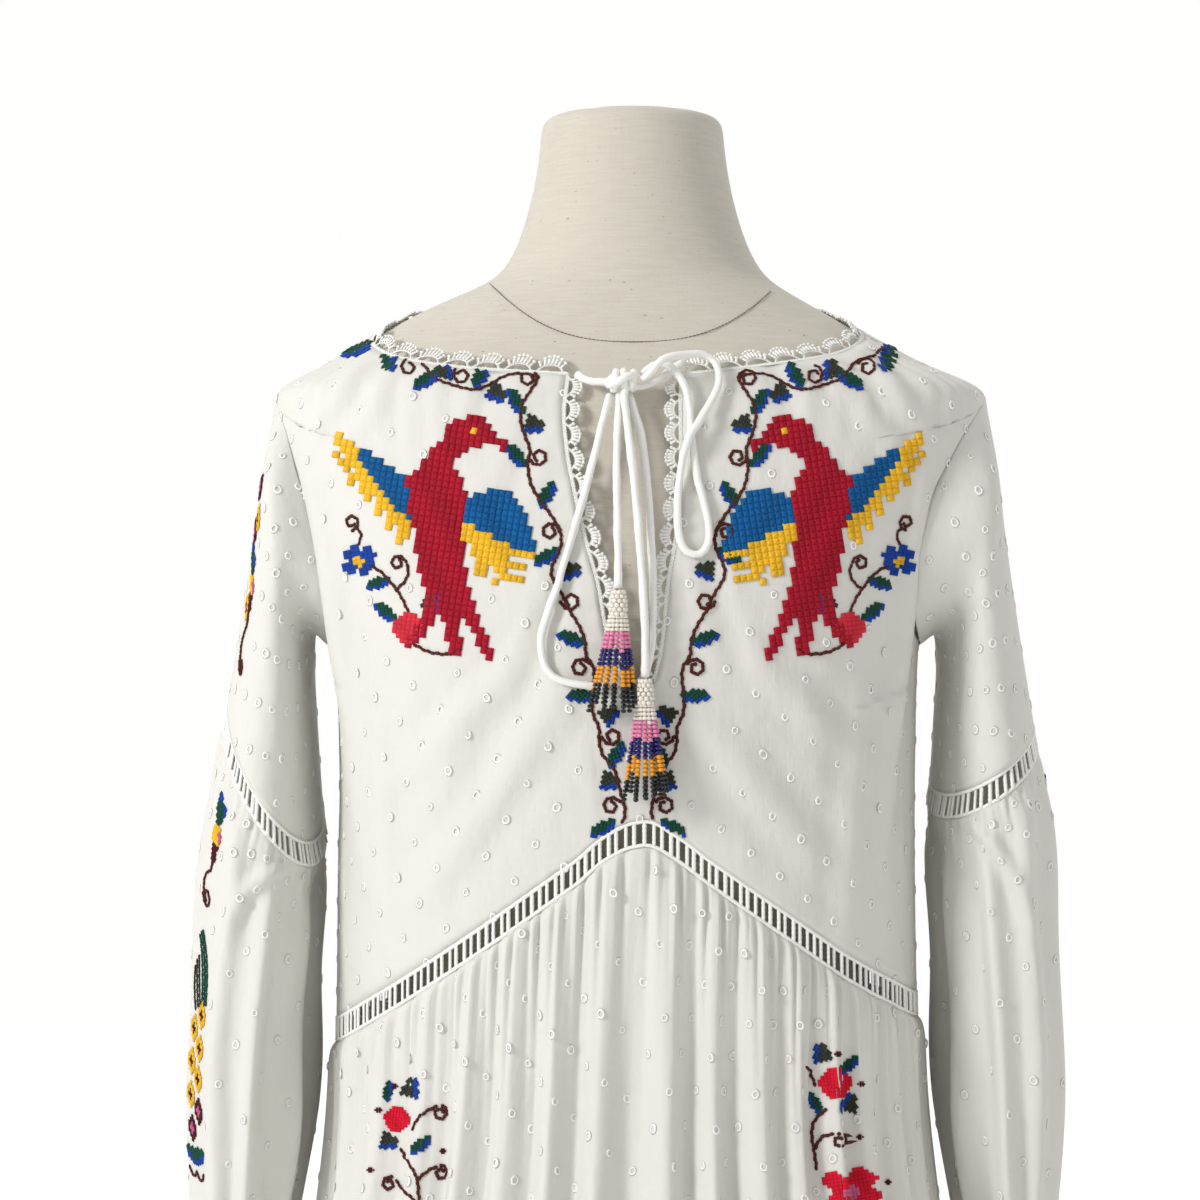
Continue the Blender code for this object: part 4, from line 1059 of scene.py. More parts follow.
@dataclass
class Sleeve:
    """Upper sleeve, gathered lower sleeve and cuff of one side."""

    side: Side
    phases: int = 96
    gathers: int = 10
    cuff_height: float = 0.027
    cut_upper: Pair = (0.34, 0.26)
    cut_lower: Pair = (0.62, 0.34)
    cut_cuff: Pair = (0.205, 0.027)

    @property
    def word(self) -> str:
        """The side's word in node names."""
        return self.side.name.lower()

    @staticmethod
    def ring_point(row: Row, phase: float, wave: float = 0.0) -> Vector:
        """Point of a sleeve section, phase 0 at its outer edge."""
        outer_x, outer_height, inner_x, inner_height, depth, drop = row[:6]
        centre = Vector(((outer_x + inner_x) / 2, 0.0, (outer_height + inner_height) / 2))
        half = Vector(((outer_x - inner_x) / 2, 0.0, (outer_height - inner_height) / 2))
        outward = Vector((math.copysign(math.cos(phase), math.cos(phase) * outer_x), -math.sin(phase), 0.0))
        deep = Vector((0.0, -depth * math.sin(phase), -drop * math.sin(phase)))
        return centre + half * math.cos(phase) + deep + outward * wave

    def armhole_ring(self, phase: float) -> Vector:
        """Point of the sleeve's top edge, beside the yoke's edge."""
        angle, height = SHAPE.armhole(phase, self.side)
        return SHAPE.point(angle, height) + Vector((self.side.value * 0.0002, 0.0, 0.0001))

    def upper_point(self, phase: float, share: float) -> Vector:
        """Point of the upper sleeve.

        Args:
            phase: Turn round the sleeve, 0 at its outer edge.
            share: Share of the way from the armhole to the ladder.

        Returns:
            The point.
        """
        table = UPPER_SLEEVES[self.side]
        rings = [self.armhole_ring(phase)] + [self.ring_point(row, phase) for row in table]
        point = spline_point(rings, share * (len(rings) - 1))
        front = max(math.sin(phase), 0.0)
        drag = 0.0018 * math.sin(9 * share - 2.2 * math.cos(phase)) * front
        tube = 0.0008 * math.cos(5 * phase + 3 * share) * math.sin(math.pi * share)
        outward = Vector((math.cos(phase) * self.side.value * 0.5, -math.sin(phase), 0.0))
        return point + outward * (drag + tube)

    def lower_row(self, place: float) -> Row:
        """Section row of the lower sleeve at a place along its table."""
        table = LOWER_SLEEVES[self.side]
        keyed = tuple((float(index),) + row for index, row in enumerate(table))
        return tuple(read_table(keyed, place, column + 1) for column in range(7))

    def lower_point(self, phase: float, share: float) -> Vector:
        """Point of the gathered lower sleeve, by turn and share down."""
        place = share * (len(LOWER_SLEEVES[self.side]) - 1)
        row = self.lower_row(place)
        top_fade = math.exp(-place / 0.5)
        end_fade = math.exp(-(5 - place) / 0.35)
        turned = self.gathers * phase + 0.5 * math.sin(phase) + 0.5 * math.sin(2.3 * place + phase)
        calm = 1 - 0.85 * math.exp(-(1 - math.cos(phase - PANEL_TURN[self.side])) / 0.055)
        wave = row[6] * math.cos(turned) * calm
        small = math.sin(31 * phase + 2 * math.sin(phase * 3)) + 0.7 * math.sin(47 * phase)
        wave += 0.0010 * small * (top_fade + end_fade) * min(place * 8, 1.0)
        for first, last, top, bottom, height in SLEEVE_FOLDS:
            along = (share - top) / (bottom - top)
            if 0 < along < 1:
                off = (phase - first - (last - first) * along) / 0.11
                ridge = math.exp(-off * off) - 0.5 * math.exp(-((abs(off) - 1.6) ** 2))
                wave += height * math.sin(math.pi * along) ** 0.7 * ridge
        wave += 0.0010 * math.sin(3 * phase + 4 * place) * min(place, 1.0)
        return self.ring_point(row, phase, wave)

    def tube(self, node: str, point: Surface, rows: int, columns: int, cut: Pair,
             material: Material, held: str, carrier: str) -> Piece:
        """Make one tube of the sleeve.

        Args:
            node: The solid that it stands for.
            point: Surface of the tube, by turn and share down.
            rows: Rows of the grid.
            columns: Columns of the grid.
            cut: Width and length of the flat cut.
            material: The voile.
            held: How it is held. Not used.
            carrier: The node that carries it. Not used.

        Returns:
            The tube's shell.
        """
        grid: Grid = []
        weave = []
        for row in range(rows + 1):
            share = row / rows
            grid.append([point(2 * math.pi * column / columns, share) for column in range(columns)])
            weave.append([(cut[0] * column / columns, cut[1] * (1 - share)) for column in range(columns)])
        made = Cloth(node + "_voile", material, closed=True).build([grid], [weave])
        dress_cloth(made, node, cut)
        return made

    def build(self, material: Material) -> list[Piece]:
        """Make the sleeve's cloth.

        Args:
            material: The voile.

        Returns:
            The upper sleeve, the lower sleeve and the cuff.
        """
        upper = self.tube("sleeve_" + self.word, self.upper_point, 44, self.phases, self.cut_upper,
                          material, "hung", "yoke_front")
        lower = self.tube("lower_sleeve_" + self.word, self.lower_point, 60, 240, self.cut_lower,
                          material, "gathered", "sleeve_ladder_" + self.word)
        last = LOWER_SLEEVES[self.side][-1]

        def cuff_point(phase: float, share: float) -> Vector:
            """Point of the plain cuff."""
            drop = 0.0004 + (self.cuff_height - 0.0004) * share
            row = (last[0], last[1] - drop, last[2], last[3] - drop, last[4], 0.0)
            return self.ring_point(row, phase, 0.0006 * math.sin(math.pi * share))

        cuff = self.tube("cuff_" + self.word, cuff_point, 10, 72, self.cut_cuff,
                         material, "stretched", "lower_sleeve_" + self.word)
        return [upper, lower, cuff]


@dataclass(frozen=True)
class Spot:
    """Place of one repeated shape on the dress."""

    point: Vector
    along: Vector
    out: Vector
    size: tuple[float, float, float] = (1.0, 1.0, 1.0)
    colour: tuple[float, float, float] = (1.0, 1.0, 1.0)

    def turn(self) -> tuple[float, float, float]:
        """Euler angles that lay the shape along and face it out."""
        up = self.out.normalized()
        ahead = self.along - up * self.along.dot(up)
        ahead = ahead.normalized() if ahead.length > 1e-9 else up.orthogonal().normalized()
        across = up.cross(ahead)
        turned = Matrix((ahead, across, up)).transposed()
        return tuple(turned.to_euler())


class Shapes:
    """Small shapes of unit size that are repeated over the dress."""

    @staticmethod
    def finish(name: str, shape: bmesh.types.BMesh) -> Piece:
        """Turn a shape into an object outside the scene."""
        for face in shape.faces:
            face.smooth = True
        mesh = bpy.data.meshes.new(name)
        shape.to_mesh(mesh)
        shape.free()
        return bpy.data.objects.new(name, mesh)

    @staticmethod
    def grain(shape: bmesh.types.BMesh, size: Vector, turn: float, segments: int = 4, rings: int = 3) -> None:
        """Add a long rounded grain along X, turned about Z."""
        placed = Matrix.Rotation(turn, 4, "Z") @ Matrix.Diagonal(size).to_4x4()
        placed = placed @ Matrix.Rotation(math.radians(90), 4, "Y")
        bmesh.ops.create_uvsphere(
            shape, u_segments=segments, v_segments=rings, radius=0.5, matrix=placed
        )

    @classmethod
    def stitch(cls) -> Piece:
        """One straight padded stitch."""
        shape = bmesh.new()
        cls.grain(shape, Vector((1.0, 1.12, 1.12)), 0.0)
        return cls.finish("straight_stitch", shape)

    @classmethod
    def cross(cls) -> Piece:
        """Two padded stitches that cross in a square."""
        shape = bmesh.new()
        for turn in (45.0, -45.0):
            cls.grain(shape, Vector((1.40, 0.62, 0.58)), math.radians(turn))
        pad = Matrix.Diagonal((1.02, 1.02, 0.16, 1.0))
        bmesh.ops.create_cube(shape, size=1.0, matrix=pad)
        return cls.finish("cross_stitch", shape)

    @classmethod
    def bead(cls) -> Piece:
        """A round glass bead, flattened along its thread."""
        shape = bmesh.new()
        placed = Matrix.Diagonal((1.0, 1.0, 0.78, 1.0))
        bmesh.ops.create_uvsphere(shape, u_segments=8, v_segments=5, radius=0.5, matrix=placed)
        return cls.finish("glass_bead", shape)

    @classmethod
    def ring(cls, turns: int = 8, sides: int = 3) -> Piece:
        """A small oval ring of clipped thread."""
        shape = bmesh.new()
        rows = []
        for step in range(turns):
            angle = 2 * math.pi * step / turns
            row = []
            for side in range(sides):
                swell = 0.16 * math.cos(2 * math.pi * side / sides)
                reach = 0.34 + swell
                height = 0.16 * math.sin(2 * math.pi * side / sides)
                row.append(shape.verts.new((reach * math.cos(angle), 0.82 * reach * math.sin(angle), height)))
            rows.append(row)
        for here, after in zip(rows, rows[1:] + rows[:1]):
            for side in range(sides):
                other = (side + 1) % sides
                shape.faces.new((here[side], after[side], after[other], here[other]))
        bmesh.ops.recalc_face_normals(shape, faces=shape.faces)
        return cls.finish("clipped_dot", shape)

    @classmethod
    def bar(cls, rings: int = 11, sides: int = 6) -> Piece:
        """A bar wrapped in thread, along X."""
        shape = bmesh.new()
        rows = []
        for step in range(rings):
            radius = 0.5 * (0.94 + 0.10 * math.cos(math.pi * step))
            x = step / (rings - 1) - 0.5
            rows.append([
                shape.verts.new((x, radius * math.cos(2 * math.pi * side / sides),
                                 radius * math.sin(2 * math.pi * side / sides)))
                for side in range(sides)
            ])
        join_rows(shape, list(zip(rows[:-1], rows[1:])))
        shape.faces.new(rows[0])
        shape.faces.new(list(reversed(rows[-1])))
        bmesh.ops.recalc_face_normals(shape, faces=shape.faces)
        return cls.finish("wrapped_bar", shape)


class Scatter:
    """Geometry nodes that set one shape at each point of a mesh."""

    def __init__(self) -> None:
        """Build the tree with its named inputs."""
        self.tree = bpy.data.node_groups.new("scatter", "GeometryNodeTree")
        face = self.tree.interface
        face.new_socket("Geometry", in_out="INPUT", socket_type="NodeSocketGeometry")
        kinds = (("Shape", "Object"), ("Material", "Material"), ("Jitter", "Float"), ("Seed", "Int"))
        self.inputs = {
            name: face.new_socket(name, in_out="INPUT", socket_type="NodeSocket" + kind).identifier
            for name, kind in kinds
        }
        face.new_socket("Geometry", in_out="OUTPUT", socket_type="NodeSocketGeometry")
        given = self.tree.nodes.new("NodeGroupInput").outputs
        shape = self.node("GeometryNodeObjectInfo", {}, {"Object": given["Shape"]})
        turn = self.stored("turn")
        size = self.stored("size")
        chance = self.node("FunctionNodeRandomValue", {"data_type": "FLOAT"}, {})
        spread = self.node("ShaderNodeMath", {"operation": "MULTIPLY"}, {0: given["Jitter"], 1: -1.0})
        self.tree.links.new(spread.outputs[0], chance.inputs[2])
        self.tree.links.new(given["Jitter"], chance.inputs[3])
        self.tree.links.new(given["Seed"], chance.inputs["Seed"])
        factor = self.node("ShaderNodeMath", {"operation": "ADD"}, {0: chance.outputs[1], 1: 1.0})
        scaled = self.node("ShaderNodeVectorMath", {"operation": "SCALE"}, {0: size.outputs[0]})
        self.tree.links.new(factor.outputs[0], scaled.inputs["Scale"])
        placed = self.node("GeometryNodeInstanceOnPoints", {}, {
            "Points": given["Geometry"], "Instance": shape.outputs["Geometry"],
            "Rotation": turn.outputs[0], "Scale": scaled.outputs[0],
        })
        real = self.node("GeometryNodeRealizeInstances", {}, {"Geometry": placed.outputs[0]})
        dressed = self.node("GeometryNodeSetMaterial", {}, {
            "Geometry": real.outputs[0], "Material": given["Material"],
        })
        end = self.tree.nodes.new("NodeGroupOutput")
        self.tree.links.new(dressed.outputs[0], end.inputs["Geometry"])

    def node(self, kind: str, settings: dict, inputs: dict) -> bpy.types.Node:
        """Add a node by type, settings first, then its inputs.

        Args:
            kind: The node's type.
            settings: Its settings.
            inputs: Values or sockets for its inputs.

        Returns:
            The node.
        """
        made = self.tree.nodes.new(kind)
        for name, value in settings.items():
            setattr(made, name, value)
        for name, value in inputs.items():
            if isinstance(value, bpy.types.NodeSocket):
                self.tree.links.new(value, made.inputs[name])
            else:
                made.inputs[name].default_value = value
        return made

    def stored(self, name: str) -> bpy.types.Node:
        """Add a node that reads a stored vector."""
        return self.node("GeometryNodeInputNamedAttribute", {"data_type": "FLOAT_VECTOR"}, {"Name": name})

    def place(
        self,
        name: str,
        shape: Piece,
        spots: Sequence[Spot],
        material: Material,
        jitter: float = 0.04,
        seed: int = 7,
    ) -> Piece:
        """Set a shape at every spot.

        Args:
            name: The new piece's name.
            shape: The repeated shape.
            spots: Where it goes.
            material: The piece's material.
            jitter: Share by which sizes differ.
            seed: Seed of the differences.

        Returns:
            The piece as a plain mesh object.
        """
        mesh = bpy.data.meshes.new(name + "_spots")
        mesh.from_pydata([spot.point for spot in spots], [], [])
        for word, kind in (("turn", "VECTOR"), ("size", "VECTOR"), ("thread_colour", "COLOR")):
            mesh.attributes.new(word, "FLOAT_" + kind, "POINT")
        turns, sizes, colours = (mesh.attributes[word].data for word in ("turn", "size", "thread_colour"))
        for index, spot in enumerate(spots):
            turns[index].vector = spot.turn()
            sizes[index].vector = spot.size
            colours[index].color = (*spot.colour, 1.0)
        made = linked(name, mesh)
        modifier = made.modifiers.new("Scatter", "NODES")
        modifier.node_group = self.tree
        modifier[self.inputs["Shape"]] = shape
        modifier[self.inputs["Material"]] = material
        modifier[self.inputs["Jitter"]] = jitter
        modifier[self.inputs["Seed"]] = seed
        made.update_tag()
        graph = bpy.context.evaluated_depsgraph_get()
        baked = bpy.data.meshes.new_from_object(
            made.evaluated_get(graph), preserve_all_data_layers=True, depsgraph=graph
        )
        made.modifiers.clear()
        made.data = baked
        baked.name = name
        log.info("%s: %d shapes, %d faces", name, len(spots), len(baked.polygons))
        return made


def tube(
    name: str,
    path: Sequence[Vector],
    radius: float | Callable[[float, float], float],
    material: Material,
    sides: int = 10,
    closed: bool = False,
) -> Piece:
    """Make a round tube along a path.

    Args:
        name: The piece's name.
        path: Points of its centreline.
        radius: The radius, or a function of share along and turn.
        material: Its material.
        sides: Points round the tube.
        closed: Whether the path joins its own start.

    Returns:
        The tube.
    """
    count = len(path)
    shape = bmesh.new()
    rows = []
    across = None
    for index, point in enumerate(path):
        before = path[(index - 1) % count] if closed else path[max(index - 1, 0)]
        after = path[(index + 1) % count] if closed else path[min(index + 1, count - 1)]
        ahead = (after - before).normalized()
        if across is None:
            across = ahead.orthogonal().normalized()
        across = (across - ahead * across.dot(ahead)).normalized()
        other = ahead.cross(across)
        row = []
        for side in range(sides):
            turn = 2 * math.pi * side / sides
            reach = radius(index / max(count - 1, 1), turn) if callable(radius) else radius
            row.append(shape.verts.new(point + (across * math.cos(turn) + other * math.sin(turn)) * reach))
        rows.append(row)
    pairs = list(zip(rows[:-1], rows[1:]))
    if closed:
        shift = min(range(sides), key=lambda step: (rows[-1][0].co - rows[0][step].co).length)
        pairs.append((rows[-1], rows[0][shift:] + rows[0][:shift]))
    join_rows(shape, pairs)
    if not closed:
        for row, end in ((rows[0], path[0]), (rows[-1], path[-1])):
            tip = shape.verts.new(end)
            for side in range(sides):
                shape.faces.new((row[side], row[(side + 1) % sides], tip))
    bmesh.ops.recalc_face_normals(shape, faces=shape.faces)
    return surface_object(name, shape, material)


def merge(name: str, parts: Sequence[Piece], material: Material) -> Piece:
    """Join pieces of one material into one object.

    Args:
        name: The joined piece's name.
        parts: The pieces, removed afterwards.
        material: The material of all.

    Returns:
        The joined piece.
    """
    shape = bmesh.new()
    for part in parts:
        shape.from_mesh(part.data)
        bpy.data.objects.remove(part, do_unlink=True)
    for face in shape.faces:
        face.material_index = 0
    return surface_object(name, shape, material)


def settle(piece: Piece, nodes: Sequence[str]) -> None:
    """Ride on the body and stand for nodes."""
    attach(piece, BODY)
    if nodes:
        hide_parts(*nodes)


TIE_DIAMETER = 0.0046
# Points of the tie's tubes in millimetres, as the solids have them.
LEFT_BRIDGE = (
    (-33.4, -100.6, 1381.3), (-28.1, -103.6, 1377.6), (-22.3, -105.9, 1376.2), (-18.1, -106.9, 1376.1),
)
RIGHT_BRIDGE = (
    (29.0, -96.2, 1388.8), (21.5, -99.8, 1384.0), (12.5, -104.2, 1377.0), (4.2, -106.7, 1373.5),
)
LEFT_LOOP = (
    (-14.0, -111.0, 1368.3), (-16.8, -114.2, 1359.4), (-21.1, -119.9, 1341.8), (-25.7, -124.1, 1323.2),
    (-29.7, -127.8, 1307.0), (-34.8, -130.6, 1289.9), (-39.9, -133.0, 1272.7), (-45.0, -135.4, 1255.7),
    (-49.5, -136.8, 1243.2), (-53.4, -138.0, 1227.3), (-51.1, -139.0, 1213.2), (-42.6, -139.8, 1204.7),
    (-22.8, -141.3, 1200.8), (-7.6, -141.8, 1199.1), (1.5, -141.8, 1202.5), (7.1, -141.8, 1213.3),
    (9.4, -141.0, 1227.4), (10.0, -138.6, 1250.0), (9.5, -134.7, 1272.7), (8.5, -131.6, 1295.5),
    (6.8, -126.2, 1318.5), (4.1, -121.2, 1341.7), (-0.5, -115.5, 1359.2), (-3.2, -111.0, 1368.0),
)
RIGHT_LOOP = (
    (4.7, -108.2, 1380.2), (10.1, -110.0, 1385.0), (19.9, -107.5, 1385.5), (28.5, -109.5, 1374.5),
    (31.8, -113.9, 1358.3), (32.8, -119.1, 1341.2), (35.5, -123.7, 1320.9), (40.4, -128.4, 1301.3),
    (42.1, -130.9, 1285.3), (36.9, -132.6, 1276.2), (28.3, -132.8, 1278.4), (24.4, -131.2, 1289.8),
    (24.5, -128.4, 1310.5), (26.9, -126.0, 1328.9), (30.9, -124.6, 1342.7), (37.4, -120.0, 1353.3),
    (44.0, -111.5, 1364.8), (49.0, -104.5, 1376.4), (47.5, -100.5, 1387.2), (40.0, -102.0, 1392.5),
    (28.8, -108.0, 1391.5), (17.0, -114.5, 1389.0), (9.8, -115.6, 1381.8), (4.7, -114.0, 1377.0),
)
END_ONE = (
    (-8.8, -110.4, 1368.1), (-9.6, -118.3, 1353.3), (-10.4, -126.0, 1330.0), (-10.3, -133.2, 1306.9),
    (-9.9, -141.6, 1284.1), (-9.8, -148.8, 1267.0), (-9.8, -150.5, 1256.5),
)
END_TWO = (
    (-6.0, -115.2, 1368.5), (-4.0, -126.2, 1347.1), (-0.7, -134.0, 1318.2), (1.8, -140.4, 1289.6),
    (3.8, -145.6, 1261.3), (5.2, -148.9, 1233.2), (5.2, -149.8, 1206.6),
)
KNOT_CENTRE = Vector((-0.0072, -0.1110, 1.3765))

PEARL = (0.86, 0.80, 0.70)
PINK = (0.80, 0.24, 0.42)
NAVY = (0.014, 0.010, 0.14)
ORANGE = (0.86, 0.36, 0.012)
BLACK = (0.006, 0.012, 0.012)
# colour and number of the beads down each strand of a tassel
BANDS = ((PEARL, 4), (PINK, 4), (NAVY, 4), (ORANGE, 4), (BLACK, 5))


@dataclass
class Tie:
    """The tubular tie: two bridges, a bow's loops, ends and tassels."""

    scatter: Scatter
    cotton: Material
    beads: Material
    spacing: float = 0.004
    strands: int = 14
    bead: float = 0.0031
    bead_step: float = 0.0024

    def metres(self, route: Sequence[Row]) -> list[Vector]:
        """Turn millimetre points into a smooth even path."""
        return even_curve([Vector(point) * MILLIMETRE for point in route], self.spacing)

    @staticmethod
    def crumpled(share: float, turn: float) -> float:
        """Radius of the soft tube with its long creases."""
        fine = 0.06 * math.sin(83 * share + turn + 3 * math.sin(19 * share))
        return TIE_DIAMETER / 2 * (0.98 + (0.07 * math.cos(2 * turn + 31 * share) + fine))

    def cord(
        self,
        name: str,
        route: Sequence[Row],
        nodes: Sequence[str],
    ) -> Piece:
        """Make one length of the tie.

        Args:
            name: The piece's name.
            route: Its points in millimetres.
            nodes: The solids that it stands for.

        Returns:
            The tube.
        """
        path = self.metres(route)
        made = tube(name, path, self.crumpled, self.cotton, 12)
        settle(made, nodes)
        length = lengths_along(path)[-1]
        step = max(len(path) // 38, 1)
        marks = path[::step]
        if marks[-1] != path[-1]:
            marks = marks + [path[-1]]
        tuple(path[0])
        [tuple(point) for point in marks]
        log.info("%s: %.3f m long", name, length)
        return made

    def knot(self) -> Piece:
        """Make the knot of the bow, wound from the same tube."""
        parts = []
        for offset, tilt, size in ((-0.0042, 0.12, 1.0), (0.0012, -0.05, 1.06), (0.0060, 0.10, 0.94)):
            ring = []
            for step in range(30):
                turn = 2 * math.pi * step / 30
                ring.append(KNOT_CENTRE + Vector((
                    offset + tilt * 0.006 * math.sin(turn),
                    0.0042 * size * math.cos(turn),
                    0.0050 * size * math.sin(turn),
                )))
            parts.append(tube("wrap", ring, self.fold_radius, self.cotton, 10, True))
        band = [KNOT_CENTRE + Vector(point) * MILLIMETRE for point in (
            (-8.0, -1.5, -2.5), (-5.0, -5.6, -2.2), (-0.5, -7.4, 0.2), (4.0, -5.8, 2.4), (7.4, -1.5, 2.8)
        )]
        parts.append(tube("wrap", even_curve(band, 0.0012), self.fold_radius, self.cotton, 10))
        core = [KNOT_CENTRE + Vector((step * 0.0018, 0.0, 0.0)) for step in range(-5, 6)]
        parts.append(tube("wrap", core, self.core_radius, self.cotton, 14))
        made = merge("tie_knot_wraps", parts, self.cotton)
        settle(made, ["tie_knot"])
        return made

    @staticmethod
    def fold_radius(share: float, turn: float) -> float:
        """Radius of a wrapped turn of the knot."""
        return 0.0023 * (1 + 0.06 * math.sin(44 * share + 2 * turn))

    @staticmethod
    def core_radius(share: float, turn: float) -> float:
        """Radius of the knot's middle, rounded at both ends."""
        return 0.0047 * max(1 - abs(2 * share - 1) ** 3, 0.12) ** 0.5

    def tassel(self, name: str, top: Vector, node: str, lean: float, seed: int) -> Piece:
        """Make one tassel of threaded beads.

        Args:
            name: The piece's name.
            top: The end of the tube over it.
            node: The solid that it stands for.
            lean: Sideways lean of its strands.
            seed: Seed of its small differences.

        Returns:
            The tassel.
        """
        chance = Random(seed)
        spots = []
        size = (self.bead,) * 3
        rows, around = 6, 9
        for row in range(rows):
            reach = 0.0022 + 0.0022 * math.sin(0.5 + 1.9 * row / rows)
            for step in range(around):
                turn = 2 * math.pi * (step + 0.5 * (row % 2)) / around
                out = Vector((math.cos(turn), math.sin(turn), 0.0))
                point = top + out * reach + Vector((0, 0, -0.0022 - self.bead_step * row))
                spots.append(Spot(point, Vector((0, 0, 1)), out, size, PEARL))
        for strand in range(self.strands):
            turn = 2 * math.pi * strand / self.strands + 0.2
            spread = chance.uniform(0.75, 1.15)
            drop = 0.0158
            reach = 0.0040
            index = 0
            for colour, count in BANDS:
                for _ in range(count + (1 if chance.random() < 0.16 else 0)):
                    index += 1
                    reach += 0.00040 * spread
                    sway = lean * MILLIMETRE * 0.35 * index
                    beside = Vector((reach * math.cos(turn) + sway, reach * math.sin(turn) * 0.55, -drop))
                    point = top + beside
                    out = Vector((math.cos(turn), math.sin(turn), 0.1))
                    up = Vector((0.0, 0.0, 1.0)) + out * 0.1
                    spots.append(Spot(point, Vector((1, 0, 0)), up, size, colour))
                    drop += self.bead_step
        made = self.scatter.place(name, Shapes.bead(), spots, self.beads, 0.05, seed)
        settle(made, [node])
        return made

    def build(self) -> list[Piece]:
        """Make the whole tie.

        Returns:
            Every piece of it.
        """
        one = self.tassel("tassel_one_beads", Vector(END_ONE[-1]) * MILLIMETRE, "tassel_one", -0.35, 3)
        two = self.tassel("tassel_two_beads", Vector(END_TWO[-1]) * MILLIMETRE, "tassel_two", 0.05, 5)
        through = ((-9.6, -110.2, 1373.8),)
        across = ((-3.6, -112.6, 1372.6),)
        return [
            one,
            two,
            self.cord("tie_tube_one", LEFT_BRIDGE + through + END_ONE,
                      ["tie_bridge_left", "tie_end_one"]),
            self.cord("tie_tube_two", RIGHT_BRIDGE + across + END_TWO,
                      ["tie_bridge_right", "tie_end_two"]),
            self.cord("tie_bow_left", LEFT_LOOP, ["tie_loop_left"]),
            self.cord("tie_bow_right", RIGHT_LOOP, ["tie_loop_right"]),
            self.knot(),
        ]


@dataclass
class LadderBand:
    """An open ladder of wrapped bars between two rolled rails."""

    scatter: Scatter
    thread: Material
    pitch: float = 0.0055
    bar_width: float = 0.0024
    rail: float = 0.0011
    steps: int = 360

    def build(self, node: str, upper: Route, lower: Route, out: Route, closed: bool) -> Piece:
        """Make one band.

        Args:
            node: The solid that it stands for.
            upper: Line of the upper rail, by share.
            lower: Line of the lower rail, by share.
            out: Outward direction, by share.
            closed: Whether the band joins its own start.

        Returns:
            The band.
        """
        shares = [step / self.steps for step in range(self.steps + (0 if closed else 1))]
        middles = [(upper(share) + lower(share)) / 2 for share in shares + ([1.0] if closed else [])]
        run = lengths_along(middles)
        count = max(round(run[-1] / self.pitch), 4)
        spots = []
        for index in range(count):
            share = share_at(run, run[-1] * (index + 0.5) / count)
            top, bottom = upper(share), lower(share)
            lean = 0.00035 * math.sin(2.7 * index)
            point = (top + bottom) / 2 + Vector((lean, 0, 0))
            width = self.bar_width * (1 + 0.10 * math.sin(1.9 * index))
            spots.append(Spot(point, top - bottom, out(share), ((top - bottom).length, width, width * 0.8)))
        bars = self.scatter.place(node + "_bars", Shapes.bar(), spots, self.thread, 0.0)
        rails = [
            tube(node + "_rail", [line(share) for share in shares], self.rolled, self.thread, 8, closed)
            for line in (upper, lower)
        ]
        made = merge(node + "_lace", [bars] + rails, self.thread)
        settle(made, [node])
        return made

    def rolled(self, share: float, turn: float) -> float:
        """Radius of a rail with its small whipped stitches."""
        return self.rail * (1 + 0.07 * math.sin(share * 620))

    def around_body(self, back: bool) -> Piece:
        """Make the front or back band of the high waist."""
        start = 180.0 if back else 0.0

        def seam(share: float, drop: float) -> Pair:
            """Angle and height at a drop under the seam."""
            return start + 180 * share, SHAPE.ladder_top(start + 180 * share) - drop

        def line(drop: float) -> Route:
            """A line round the dress at a drop under the seam."""
            return lambda share: SHAPE.point(*seam(share, drop))

        word = "back" if back else "front"
        return self.build(
            "ladder_" + word, line(0.0012), line(SHAPE.ladder_height - 0.0012),
            lambda share: SHAPE.normal(*seam(share, 0.008)), False,
        )

    def around_sleeve(self, side: Side) -> Piece:
        """Make the band over one elbow."""
        upper_row = UPPER_SLEEVES[side][-1]
        lower_row = LOWER_SLEEVES[side][0]

        def line(row: Row, lift: float) -> Route:
            """A line round the sleeve beside a section."""
            return lambda share: Sleeve.ring_point(row, 2 * math.pi * share) + Vector((0, 0, lift))

        def out(share: float) -> Vector:
            """Outward direction of the sleeve."""
            turn = 2 * math.pi * share
            return Vector((math.cos(turn) * side.value, -math.sin(turn), 0.2))

        upper, lower = line(upper_row, -0.0008), line(lower_row, 0.0008)
        return self.build("sleeve_ladder_" + side.name.lower(), upper, lower, out, True)


